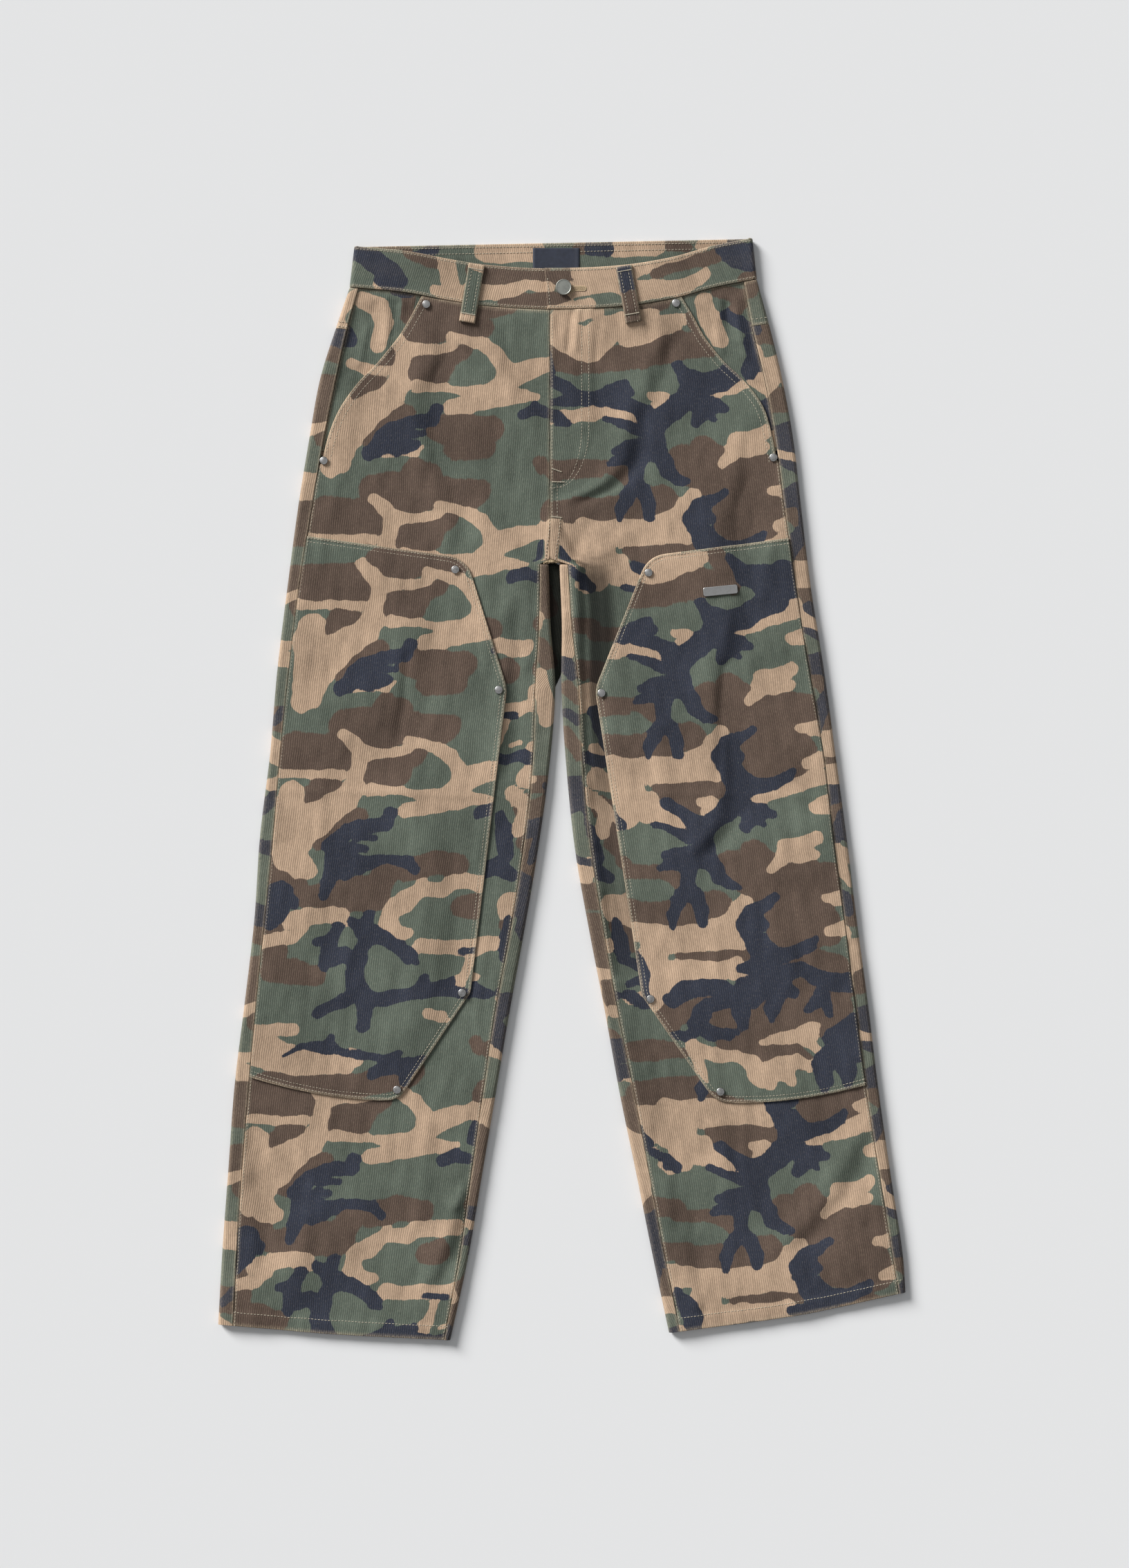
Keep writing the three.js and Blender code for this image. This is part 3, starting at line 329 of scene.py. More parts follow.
GROUND = {
    "brown": (
        ((40, 22, 5), (52, 9, 8), (72, 3, 8), (96, 5, 8), (116, 10, 9)),
        ((40, -101, 8), (60, -100, 7), (84, -99, 6)),
        ((40, -143, 11), (62, -142, 11), (84, -139, 9)),
        ((-75, -62, 12), (-46, -68, 17), (-28, -62, 11)), ((-62, -82, 8), (-30, -80, 8)),
        ((-138, -120, 12), (-103, -120, 14), (-67, -124, 13), (-36, -124, 11)),
        ((-98, -104, 10), (-84, -108, 9)),
        ((-60, -264, 9), (-33, -257, 10), (-8, -259, 8)),
        ((-190, -262, 12), (-176, -272, 12), (-160, -286, 9)),
        ((-155, -289, 8), (-118, -288, 13), (-88, -286, 14), (-78, -268, 10)),
        ((-186, -324, 5), (-180, -322, 4)),
        ((-178, -346, 10), (-180, -361, 8), (-158, -363, 11), (-137, -368, 8)),
        ((0, -300, 8), (12, -300, 10)),
        ((-175, -476, 12), (-130, -480, 11), (-90, -478, 10), (-45, -468, 9), (-18, -472, 10)),
        ((-110, -505, 9), (-60, -512, 14), (-20, -505, 12)),
        ((82, -405, 10), (97, -394, 9)), ((150, -195, 6), (126, -196, 9), (112, -186, 5)),
        ((138, -184, 8), (164, -182, 6)),
        ((118, -392, 9), (137, -404, 12), (165, -411, 15), (194, -411, 15), (213, -402, 13),
         (232, -407, 13), (252, -390, 11)),
        ((138, -429, 10), (153, -432, 10), (179, -427, 11), (198, -437, 8), (209, -447, 7)),
        ((182, -386, 10), (220, -378, 9), (240, -386, 10)), ((160, -441, 8), (176, -444, 9)),
        ((199, -352, 9), (230, -350, 12), (254, -354, 10), (266, -372, 8)),
        ((60, -440, 6), (88, -440, 5)), ((60, -482, 10), (110, -492, 12), (160, -500, 10)),
        ((110, -562, 7), (133, -557, 11), (159, -552, 10), (180, -547, 11), (202, -550, 9)),
        ((193, -522, 7), (200, -536, 7)),
        ((24, -94, 4), (27, -100, 4)), ((40, -253, 7), (60, -254, 7)), ((44, -296, 7), (64, -296, 6)),
        ((44, -432, 9), (58, -442, 14), (54, -466, 12))),
    "tan": (
        ((42, 40, 14), (58, 36, 15), (84, 22, 18), (104, 36, 14), (124, 43, 12), (150, 51, 8)),
        ((41, -50, 5), (58, -48, 7), (84, -47, 7)),
        ((30, -160, 8), (44, -163, 11), (58, -166, 12), (62, -180, 10), (70, -196, 11)),
        ((46, -173, 8), (57, -187, 8)),
        ((42, -193, 3), (50, -201, 3)), ((50, -212, 3), (58, -218, 4)), ((44, -320, 11), (60, -321, 10)),
        ((44, -374, 6), (50, -382, 6)),
        ((44, -404, 12), (58, -409, 9)), ((52, -437, 5), (61, -447, 5)),
        ((-178, -96, 15), (-170, -96, 9)), ((-130, -88, 2.5), (-112, -86, 2.5), (-97, -87, 2.8),
         (-92, -81, 2)),
        ((-177, -246, 14), (-163, -260, 12), (-153, -264, 8)),
        ((-169, -314, 8), (-149, -310, 9), (-128, -307, 8.5), (-117, -307, 7), (-111, -314, 4.5)),
        ((-190, -334, 7), (-162, -329, 7), (-154, -320, 7)),
        ((26, -276, 9), (-11, -276, 8), (-20, -283, 8), (-42, -284, 8), (-56, -295, 11), (-69, -302, 9),
         (-72, -313, 9), (-63, -325, 8), (-50, -326, 6)), ((-42, -284, 7), (-41, -277, 5)),
        ((-36, -338, 8), (-16, -339, 7.5), (4, -339, 7.5), (24, -338, 8), (40, -333, 6)),
        ((14, -340, 6), (13, -354, 5), (10, -366, 6), (3, -377, 8.5)), ((24, -372, 3), (32, -370, 3)),
        ((-20, -404, 6), (-8, -408, 6), (0, -411, 3)),
        ((-190, -421, 7), (-151, -421, 6.5)), ((-182, -440, 17), (-147, -451, 13), (-122, -454, 11),
         (-97, -454, 10), (-86, -451, 7)),
        ((-91, -440, 2.5), (-87, -441, 2)),
        ((92, -195, 13), (102, -205, 9), (115, -210, 8), (123, -216, 5)),
        ((90, -360, 12), (113, -357, 11), (139, -357, 9), (157, -350, 6)), ((150, -362, 5), (173, -366, 2)),
        ((80, -365, 12), (76, -378, 11), (69, -392, 8)),
        ((169, -429, 3), (189, -425, 6), (205, -422, 7), (220, -417, 8), (227, -412, 4)),
        ((215, -424, 8), (222, -434, 5)),
        ((101, -430, 6), (110, -437, 7), (127, -442, 7), (144, -443, 6), (158, -450, 9), (164, -462, 12),
         (172, -470, 7)),
        ((164, -462, 11), (185, -455, 13), (193, -467, 6)),
        ((187, -453, 11), (201, -445, 7), (212, -452, 6), (218, -447, 3)),
        ((104, -437, 6), (107, -457, 6), (110, -467, 3)),
        ((125, -542, 8), (144, -535, 11), (165, -527, 10), (178, -522, 7)), ((80, 57, 9), (98, 55, 8)),
        ((60, -520, 9), (90, -512, 10)),
        ((30, -420, 8), (46, -432, 8), (40, -455, 7))),
    "navy": (
        ((41, 28, 4), (42, 12, 7), (42, -2, 7)), ((41, -9, 5), (60, -19, 6), (66, -28, 8), (92, -31, 7),
         (104, -24, 6), (118, -16, 5)),
        ((43, -35, 3), (60, -31, 5)), ((100, -31, 6), (122, -38, 6), (136, -45, 7)),
        ((41, -46, 5), (51, -50, 6), (58, -54, 4)),
        ((34, -179, 5), (39, -190, 6)), ((44, -199, 4), (55, -206, 4), (64, -214, 5)),
        ((-131, -75, 11), (-116, -80, 8), (-101, -79, 6)), ((-131, -77, 10), (-145, -86, 7.5)),
        ((-130, -236, 10), (-138, -240, 7)), ((-115, -241, 4), (-101, -244, 3)),
        ((-128, -250, 12), (-105, -259, 8), (-88, -254, 5), (-73, -254, 4.5), (-58, -256, 5),
         (-49, -264, 4)),
        ((-130, -258, 9), (-133, -272, 7), (-136, -288, 4.5)), ((-120, -258, 9), (-117, -268, 6)),
        ((-180, -287, 14), (-184, -304, 13), (-186, -316, 7)), ((-176, -290, 10), (-165, -295, 6)),
        ((-139, -334, 4), (-126, -334, 7), (-120, -321, 6)),
        ((-127, -336, 8), (-124, -349, 9), (-128, -358, 5)),
        ((-120, -350, 9), (-110, -346, 7), (-97, -351, 9), (-94, -340, 6), (-87, -329, 9), (-95, -319, 8),
         (-91, -307, 5)),
        ((-107, -313, 4), (-98, -318, 6)), ((-86, -328, 8), (-72, -331, 7), (-56, -341, 6), (-45, -350, 6),
         (-39, -354, 3)),
        ((-97, -352, 8), (-98, -365, 8), (-94, -379, 10), (-83, -389, 9), (-83, -404, 6), (-82, -416, 7)),
        ((-94, -386, 7), (-105, -391, 6), (-116, -398, 5), (-128, -404, 6)),
        ((-82, -390, 7), (-65, -390, 6), (-45, -386, 6), (-30, -381, 8), (-13, -379, 7), (-4, -374, 5)),
        ((-29, -380, 7), (-28, -371, 5)), ((-10, -382, 5), (20, -386, 4.5), (34, -383, 5), (52, -386, 5)),
        ((-158, -445, 1.5), (-141, -438, 3), (-114, -436, 6), (-99, -443, 3), (-83, -445, 4),
         (-58, -448, 4), (-46, -443, 3)),
        ((-114, -435, 5), (-113, -429, 4)), ((-60, -450, 5), (-52, -455, 9), (-68, -465, 5)),
        ((-50, -455, 8), (-34, -456, 8), (-22, -448, 3)), ((-36, -456, 7), (-35, -471, 5)),
        ((4, -209, 5), (18, -205, 5), (30, -208, 5)), ((2, -343, 2.5), (24, -344, 3)),
        ((20, -440, 5), (26, -455, 7), (30, -480, 7)),
        ((2, -47, 5), (16, -42, 6), (28, -46, 5)),
        ((50, -338, 5), (56, -350, 9), (60, -368, 8), (62, -386, 5)), ((33, -176, 4), (31, -190, 4)),
        ((85, -30, 6), (105, -29, 6), (121, -23, 5)), ((112, -193, 5), (122, -202, 5)),
        ((56, -213, 4), (62, -216, 3)),
        ((59, -350, 6), (63, -362, 8)), ((158, -356, 4), (171, -357, 6), (188, -362, 8), (203, -360, 8),
         (219, -357, 6),
         (230, -365, 8), (250, -370, 9), (272, -370, 9)), ((159, -370, 5), (179, -372, 8), (197, -373, 12),
         (208, -380, 6)),
        ((83, -386, 5), (87, -389, 6), (101, -378, 9), (121, -374, 8), (137, -376, 9), (150, -385, 11),
         (166, -384, 11), (180, -374, 9)),
        ((152, -388, 10), (153, -400, 9), (154, -412, 5)),
        ((140, -390, 6), (121, -392, 6), (115, -400, 9), (109, -411, 8), (120, -420, 7)),
        ((120, -420, 7), (137, -422, 5), (148, -419, 3)), ((109, -416, 6), (95, -422, 4), (84, -422, 3)),
        ((192, -384, 8), (184, -398, 7), (183, -407, 3)),
        ((236, -380, 6), (229, -390, 5), (220, -398, 3.5)), ((236, -382, 6), (239, -400, 4)),
        ((264, -408, 9), (256, -420, 14), (241, -424, 10)),
        ((258, -424, 13), (261, -437, 10), (240, -440, 11), (225, -452, 9)),
        ((242, -442, 10), (250, -455, 10), (248, -467, 6)),
        ((226, -452, 9), (226, -465, 8), (225, -475, 4)),
        ((101, -480, 8), (104, -492, 5)), ((172, -567, 5), (178, -580, 8), (184, -586, 12)),
        ((184, -584, 12), (197, -587, 10), (212, -582, 10), (226, -573, 10), (245, -562, 14),
         (238, -545, 14), (218, -540, 9), (206, -524, 4)),
        ((240, -548, 13), (257, -536, 11), (264, -550, 11)), ((0, -500, 7), (24, -492, 9), (40, -500, 6))),
}
# Strokes on the narrow pieces: across, up from the seam, and reach. The waistband's front is at its
# own x and its back 700 further on; the belt loops are at 1000 and 1100, the pocket facings at their
# own height and 1300 and 1400 further on, and the strips inside the legs 1500 and 1600 further on.
BEHIND = 700.0
NARROW_PRINT = {
    "brown": (
        ((-148, 38, 7), (-128, 36, 8)), ((-84, 33, 10), (-60, 33, 11), (-36, 35, 8), (-15, 37, 5)),
        ((-56, 3, 5), (-36, 7, 6), (-16, 8, 9)), ((-13, 30, 8), (4, 35, 6), (12, 31, 4)),
        ((-11, 10, 7), (2, 11, 6)), ((90, 28, 4), (120, 30, 5), (152, 29, 7)), ((178, 3, 5), (192, 2, 5)),
        ((520, 36, 9), (546, 34, 8)), ((716, 34, 6), (724, 36, 6)), ((806, 36, 6), (822, 34, 6)),
        ((1098, 24, 9), (1102, 3, 10)), ((1150, 480, 7), (1146, 462, 6)), ((1106, 384, 9), (1122, 374, 8)),
        ((1553, 488, 7), (1580, 482, 8), (1572, 470, 6)), ((1596, 436, 5), (1604, 426, 5)),
        ((1480, 214, 9), (1488, 178, 9)), ((1478, 142, 9), (1489, 126, 9)),
        ((1612, 164, 3), (1606, 154, 4)),
        ((1604, 100, 7), (1616, 88, 7)), ((1604, 54, 8), (1618, 34, 8))),
    "tan": (
        ((-114, 43, 9), (-109, 20, 9), (-101, 1, 10)), ((-124, 6, 6), (-104, 4, 7)),
        ((-88, 12, 9), (-66, 12, 7), (-48, 17, 6), (-34, 23, 4), (-12, 23, 5)),
        ((18, 36, 9), (45, 34, 11), (64, 34, 12), (82, 38, 8), (110, 43, 6), (140, 44, 5)),
        ((12, 20, 8), (30, 22, 8), (58, 22, 8), (76, 12, 11), (98, 11, 9), (120, 9, 8), (140, 14, 6)),
        ((-13, 1, 3), (10, 3, 5), (26, 4, 7)), ((-180, 4, 4), (-174, 2, 3)),
        ((627, 34, 12), (672, 34, 12)), ((756, 34, 9), (792, 34, 9)), ((840, 36, 8), (858, 36, 6)),
        ((996, 1, 7), (1004, 0, 8)), ((994, 60, 7), (1006, 57, 7)),
        ((1106, 479, 9), (1120, 474, 10), (1126, 456, 9), (1121, 436, 8)), ((1094, 418, 5), (1114, 410, 7)),
        ((1098, 352, 9), (1110, 342, 8)), ((1538, 478, 8), (1546, 460, 10), (1556, 440, 8)),
        ((1590, 402, 8), (1606, 392, 7)), ((1598, 350, 8), (1610, 342, 7)),
        ((1478, 110, 8), (1486, 70, 9)), ((1604, 222, 9), (1606, 180, 9), (1607, 138, 9)),
        ((1480, 172, 3), (1478, 160, 3))),
    "navy": (
        ((-202, 34, 8), (-186, 28, 11), (-170, 18, 11), (-158, 10, 8)), ((-176, 10, 7), (-162, 3, 8)),
        ((158, 36, 8), (172, 27, 12), (190, 22, 13)), ((730, 34, 7), (745, 34, 7)),
        ((556, 28, 5), (574, 36, 6)), ((870, 34, 8), (886, 36, 8)),
        ((1096, 56, 8), (1103, 40, 8), (1096, 34, 5)), ((1136, 488, 4), (1150, 486, 4)),
        ((1084, 452, 8), (1092, 440, 7)), ((1563, 465, 5), (1582, 453, 7)),
        ((1586, 438, 8), (1594, 424, 9), (1584, 410, 8)),
        ((1600, 374, 9), (1604, 358, 7)), ((1602, 122, 7), (1614, 114, 7)), ((1604, 74, 4), (1616, 68, 5)),
        ((1474, 216, 4), (1476, 196, 3))),
}

# Each piece is cut from its own place on the cloth: the point of the repeat, across and up, that
# falls on a place of the garment.
PLACES = {
    "front_right": (0, 0, -38, 415), "front_left": (140, -72, 90, 341),
    "knee_right": (0, 0, -62, 184), "knee_left": (140, -72, 115, 108),
    "back_right": (0, 0, 60, 330), "back_left": (140, -72, 40, 300),
    "yoke_right": (0, 0, 30, 470), "yoke_left": (0, 0, 20, 430),
}
LOOP_PLACES = {"right": 1000, "left": 1100}
FACING_PLACES = {"right": 1300, "left": 1400}
STRIP_PLACES = {"right": 1500, "left": 1600}
STRIP_PRINT_FROM = 14.0
# Folds in the left facing, mirrored for the right one: from a place, to a place, width and lift.
FACING_FOLDS = (
    (162, 476, 165, 446, 3.0, -1.4), (155, 480, 157, 462, 3, 0.9), (171, 480, 174, 440, 4, 1.1),
    (182, 476, 188, 432, 4, -1.0), (200, 440, 206, 400, 5, 0.7))
# Width, length and area of each piece laid flat, in metres and square metres.
CUTS = {
    "front_right": (0.250, 1.048, 0.232), "front_left": (0.240, 1.026, 0.225),
    "back_right": (0.326, 1.052, 0.280), "back_left": (0.305, 0.978, 0.270),
    "yoke_right": (0.212, 0.066, 0.0110), "yoke_left": (0.223, 0.066, 0.0119),
    "pocket_facing_right": (0.077, 0.185, 0.0076), "pocket_facing_left": (0.077, 0.183, 0.0074),
    "knee_panel_right": (0.216, 0.593, 0.108), "knee_panel_left": (0.214, 0.605, 0.107),
    "waistband": (0.853, 0.042, 0.035),
    "belt_loop_right": (0.018, 0.060, 0.00106), "belt_loop_left": (0.018, 0.058, 0.00103)}
# Where a loop's foot, a pocket facing or the plate holds the cloth flat, and how far round it.
HELD_FLAT = {
    "right": table("x y across up", (-88, 460, 24, 24)),
    "left": table("x y across up", (156, 194.5, 32, 16), (199, 336, 24, 26))}
# How far each printing colour runs over its drawn edge.
BLEED = {"brown": 2.4, "tan": -0.5, "navy": 0.4}
GAP_CLOSED = 3.0  # no sliver of ground narrower than this is left between two colours
EDGE_BLEND = 2.0  # neighbouring strokes of one colour run together over this far
FAR = 40.0  # distances to the print are not worked out beyond this
REPEAT_START = (-210.0, 60.0)  # left and upper edge of the charted repeat
# The print's ragged edges: how far, how long and which seed, for each wave across and along.
RAGGED_ACROSS = ((1.6, 22, 11), (0.8, 7, 12))
RAGGED_ALONG = ((1.6, 20, 13), (0.8, 6, 14))
LATTICE = (97, 89)  # after this many features in x and y, the unevenness comes round again


def wander(x, y, size, seed):
    """Smooth, fixed unevenness between -1 and 1 with features about `size` across."""
    lattice = np.random.default_rng(seed).uniform(-1, 1, LATTICE)
    gx, gy = np.asarray(x) / size, np.asarray(y) / size
    ix, iy = np.floor(gx).astype(int), np.floor(gy).astype(int)
    fx, fy = gx - ix, gy - iy
    fx, fy = fx * fx * (3 - 2 * fx), fy * fy * (3 - 2 * fy)

    def corner(a, b):
        return lattice[(ix + a) % LATTICE[0], (iy + b) % LATTICE[1]]

    low = corner(0, 0) * (1 - fx) + corner(1, 0) * fx
    high = corner(0, 1) * (1 - fx) + corner(1, 1) * fx
    return low * (1 - fy) + high * fy


def ragged(base, x, y, waves):
    """A coordinate moved by a few waves of unevenness."""
    for size, length, seed in waves:
        base = base + size * wander(x, y, length, seed)
    return base


def paint(x, y, strokes, depth):
    """Lowers `depth` to the distance from these strokes, negative inside them."""
    for stroke in strokes:
        for (ax, ay, ar), (bx, by, br) in zip(stroke[:-1], stroke[1:]):
            reach = max(ar, br) + FAR
            near = np.flatnonzero(
                (x > min(ax, bx) - reach) & (x < max(ax, bx) + reach)
                & (y > min(ay, by) - reach) & (y < max(ay, by) + reach))
            if not near.size:
                continue
            px, py = x[near], y[near]
            dx, dy = bx - ax, by - ay
            t = np.clip(((px - ax) * dx + (py - ay) * dy) / (dx * dx + dy * dy), 0, 1)
            d = np.hypot(px - ax - dx * t, py - ay - dy * t) - (ar + (br - ar) * t)
            old = depth[near]
            overlap = np.clip(0.5 + (old - d) / (2 * EDGE_BLEND), 0, 1)
            depth[near] = old * (1 - overlap) + d * overlap - EDGE_BLEND * overlap * (1 - overlap)


def camouflage(across, along, single=None):
    """Signed distances to the brown, tan and navy printing at places on the flat cloth.

    `single` gives strokes of their own to a narrow piece, in place of the repeat.
    """
    shape = np.shape(across)
    x, y = np.ravel(across).astype(float), np.ravel(along).astype(float)
    wx, wy = ragged(x, x, y, RAGGED_ACROSS), ragged(y, x, y, RAGGED_ALONG)
    left, top = REPEAT_START
    tx = (wx - left) % REPEAT_WIDTH + left
    ty = (wy - top) % -REPEAT_HEIGHT + top
    found = {}
    for colour in ("brown", "tan", "navy"):
        depth = np.full(x.shape, FAR)
        if single:
            paint(wx, wy, single[colour], depth)
            found[colour] = depth.reshape(shape)
            continue
        for sx in (-REPEAT_WIDTH, 0, REPEAT_WIDTH):
            for sy in (-REPEAT_HEIGHT, 0, REPEAT_HEIGHT):
                paint(tx - sx, ty - sy, GROUND[colour], depth)
                for step in (0, BAND_STEP):
                    paint(tx - sx, ty - sy - step, SPOTS[colour], depth)
        found[colour] = depth.reshape(shape) - BLEED[colour]
    nearest = np.sort(np.stack(list(found.values())), axis=0)
    gap = nearest[0] + nearest[1]
    closed = np.maximum(gap / 2 + 0.3, 0) * ease(GAP_CLOSED + 2, GAP_CLOSED, gap)
    return {colour: depth - closed for colour, depth in found.items()}


# ---- curves and heights ------------------------------------------------------------------------
def curve(rows, key, column, at):
    """A smooth curve through one column of a table, read at places in another column."""
    order = np.argsort(rows[key])
    k, v = rows[key][order], rows[column][order]
    rise = np.empty_like(v)
    rise[1:-1] = (v[2:] - v[:-2]) / (k[2:] - k[:-2])
    rise[0], rise[-1] = (v[1] - v[0]) / (k[1] - k[0]), (v[-1] - v[-2]) / (k[-1] - k[-2])
    i = np.clip(np.searchsorted(k, at, side="right") - 1, 0, len(k) - 2)
    span = k[i + 1] - k[i]
    t = (at - k[i]) / span
    a, b = rise[i] * span, rise[i + 1] * span
    c = np.clip(t, 0, 1)
    value = v[i] + (v[i + 1] - v[i]) * c * c * (3 - 2 * c) + c * (1 - c) ** 2 * a + c * c * (c - 1) * b
    return value + np.minimum(t, 0) * a + np.maximum(t - 1, 0) * b


def mix(a, b, t):
    """The value a share t of the way from a to b."""
    return a + (b - a) * t


def ease(start, end, value):
    """Rises smoothly from 0 at start to 1 at end."""
    t = np.clip((value - start) / (end - start), 0, 1)
    return t * t * (3 - 2 * t)


def bell(distance, width):
    """1 at distance 0, fading evenly to both sides."""
    return np.exp(-((distance / width) ** 2))


def outer_x(leg, y):
    """x of the leg's outer fold."""
    return curve(leg.side, "y", "outer", y)


def side_x(leg, y):
    """x of the side seam."""
    return curve(leg.side, "y", "seam", y)


def fold_x(leg, y):
    """x of the leg's inner fold."""
    return curve(leg.inner, "y", "fold", y)


def inseam_x(leg, y):
    """x of the inseam."""
    return curve(leg.inner, "y", "seam", y)


def mouth_x(leg, y):
    """x of the pocket mouth."""
    return curve(leg.mouth, "y", "x", y)


def mouth_end(leg):
    """y of the lower end of the pocket mouth."""
    return leg.mouth["y"][-1]


def hem_y(leg, x):
    """y of the hem."""
    return curve(leg.hem, "x", "y", x)


def waist_y(x):
    """y of the front waist seam."""
    return curve(WAIST_SEAM, "x", "y", x)


def back_waist_y(x):
    """The back waist seam lies straight across underneath."""
    return mix(BAND_FOLDS["y"][0], BAND_FOLDS["y"][1], (x - BAND_FOLDS["x"][0]) / np.ptp(BAND_FOLDS["x"]))


def yoke_seam_y(leg, x):
    """y of the seam between a back and its yoke."""
    t = (x - CENTRE_X) / (outer_x(leg, leg.yoke_y) - CENTRE_X)
    return mix(YOKE_BACK_Y, leg.yoke_y, np.clip(t, 0, 1))


def front_inner_x(leg, y):
    """A front panel's inner edge: the centre seam above the crotch, the inseam below it."""
    return np.where(y > CROTCH_Y, CENTRE_X, inseam_x(leg, y))


def lean_x(leg, y):
    """How far a wale has wandered sideways by height y."""
    heights = np.arange(-600.0, 601.0)
    slope = np.interp(heights, LEAN["y"], LEAN[leg.name])
    run = np.cumsum(slope)
    return np.interp(y, heights, run - run[heights == 0])


def line_distance(x, y, x0, y0, x1, y1):
    """Distance of each place to a straight piece of line."""
    dx, dy = x1 - x0, y1 - y0
    t = np.clip(((x - x0) * dx + (y - y0) * dy) / (dx * dx + dy * dy), 0, 1)
    return np.hypot(x - x0 - dx * t, y - y0 - dy * t)


def creased(rows, x, y):
    """The height that a table of creases adds at each place."""
    z = np.zeros(np.broadcast(x, y).shape)
    for x0, y0, x1, y1, wide, lift in zip(*rows.values()):
        z = z + lift * bell(line_distance(x, y, x0, y0, x1, y1), wide)
    return z


def stepped(folds, x, y):
    """Long folds, each given as x for each y: the cloth stands up on their left and drops on their right."""
    z = np.zeros(np.broadcast(x, y).shape)
    for lift, wide, line in folds:
        bottom, top = line["y"].min(), line["y"].max()
        away = (x - curve(line, "y", "x", np.clip(y, bottom, top))) / wide
        ends = ease(bottom - wide, bottom + wide, y) * ease(top + wide, top - wide, y)
        z = z - lift * ends * STEP_PEAK * away * np.exp(-away * away)
    return z


def loose(leg, x, y):
    """0 where something sewn or riveted on holds the cloth flat, rising to 1 away from it."""
    free = np.ones(np.broadcast(x, y).shape)
    held = HELD_FLAT[leg.name]
    for px, py, across, up in zip(held["x"], held["y"], held["across"], held["up"]):
        free = free * (1 - bell(np.hypot((x - px) / across, (y - py) / up) ** 2, 1.0))
    return free


def pucker(distance, along, seed, reach=7.0, wave=9.0):
    """Small gathers beside a sewn line."""
    return PUCKER_LIFT * bell(distance - PUCKER_INSET, reach) * wander(along, along * 0.13, wave, seed)


def front_top(leg, x, y):
    """Top of a front panel: raised beside its seams, sagging between them."""
    fly = ease(FLY_END_Y - 50, FLY_END_Y + 20, y)
    at_side = bell(x - side_x(leg, y), EDGE_SOFTNESS)
    at_inner = bell(x - front_inner_x(leg, y), EDGE_SOFTNESS) * (1 if leg is LEFT else 1 - fly)
    z = mix(PANEL_MIDDLE, PANEL_EDGE, np.minimum(at_side + at_inner, 1))
    if leg is LEFT:
        z = z + fly * (FLY_RISE * bell(x - CENTRE_X, FLY_WIDTH) - FLY_EDGE_DROP * at_inner)
    on_band = 1 if leg is LEFT else ease(-40, -150, x)
    z = z + WAIST_RISE * ease(waist_y(x) - 40, waist_y(x), y) * on_band
    mouth = ease(mouth_end(leg) - 50, mouth_end(leg), y)
    z = z + MOUTH_RISE * mouth * bell(x - mouth_x(leg, y), MOUTH_SOFTNESS)
    return np.clip(z + creased(leg.creases, x, y), PANEL_LOWEST, PANEL_HIGHEST)


def front_surface(leg, x, y):
    """The front panel's top with its turned hem, soft waves, small folds and seam gathers."""
    z = front_top(leg, x, y)
    z = z + HEM_RISE * (1 - ease(HEM_HEIGHT - 1, HEM_HEIGHT + 1, y - hem_y(leg, x)))
    z = z + 0.9 * wander(x, y, 46, 21) + 0.45 * wander(x * 1.8, y, 17, 22)
    z = z + FOLD_LIFT * creased(leg.folds, x, y)
    z = z + stepped(leg.drops, x, y) * loose(leg, x, y)
    inside_mouth = leg.sign * (mouth_x(leg, y) - x)
    over_facing = ease(FACING_TUCK + 7, FACING_TUCK + 1, inside_mouth)
    over_facing = over_facing * ease(FACING_LOWER_Y - 9, FACING_LOWER_Y - 1, y)
    z = z + over_facing * np.maximum(FACING_CLEAR - z, 0)
    z = z + pucker(np.abs(x - side_x(leg, y)), y, 23) + pucker(np.abs(x - front_inner_x(leg, y)), y, 24)
    from_hem = np.abs(y - hem_y(leg, x) - HEM_HEIGHT)
    z = z + pucker(np.abs(y - waist_y(x)), x, 25) + pucker(from_hem, x, 26, 6.0, 7.0)
    on_mouth = ease(mouth_end(leg) - 4, mouth_end(leg) + 4, y)
    z = z + on_mouth * pucker(np.abs(x - mouth_x(leg, y)) * 0.7, y, 27)
    lapped = 0.6 * (leg is LEFT) * bell(x - CENTRE_X - 2.5, 3.5) * ease(CROTCH_Y, CROTCH_Y + 6, y)
    z = z + 0.9 * crotch_strip(x, y) + 0.7 * fly_ridge(leg, x, y) + lapped
    return np.maximum(z, CLOTH + CLOTH + LIFT_OFF)


def strip_middle(y):
    """x of the middle of the crotch strip."""
    return mix(STRIP_TOP[0], STRIP_FOOT[0], ease(STRIP_TOP[1], STRIP_FOOT[1], y))


def crotch_strip(x, y):
    """1 on the double-stitched strip at the foot of the centre seam, 0 off it."""
    side = ease(STRIP_HALF + 1, STRIP_HALF - 1, np.abs(x - strip_middle(y)))
    top, foot = STRIP_TOP[1], STRIP_FOOT[1]
    return side * ease(top + 2, top - 4, y) * ease(foot - 3, foot, y)


def fly_ridge(leg, x, y):
    """1 on the fly facing, whose outer edge shows through as a soft step."""
    if leg is not LEFT:
        return np.zeros(np.broadcast(x, y).shape)
    edge = mix(CENTRE_X + 4, CENTRE_X + FLY_FACING, ease(*FLY_FACING_BEND, y) ** 0.6)
    return ease(edge + 3, edge - 3, x) * ease(286, FLY_END_Y, y)


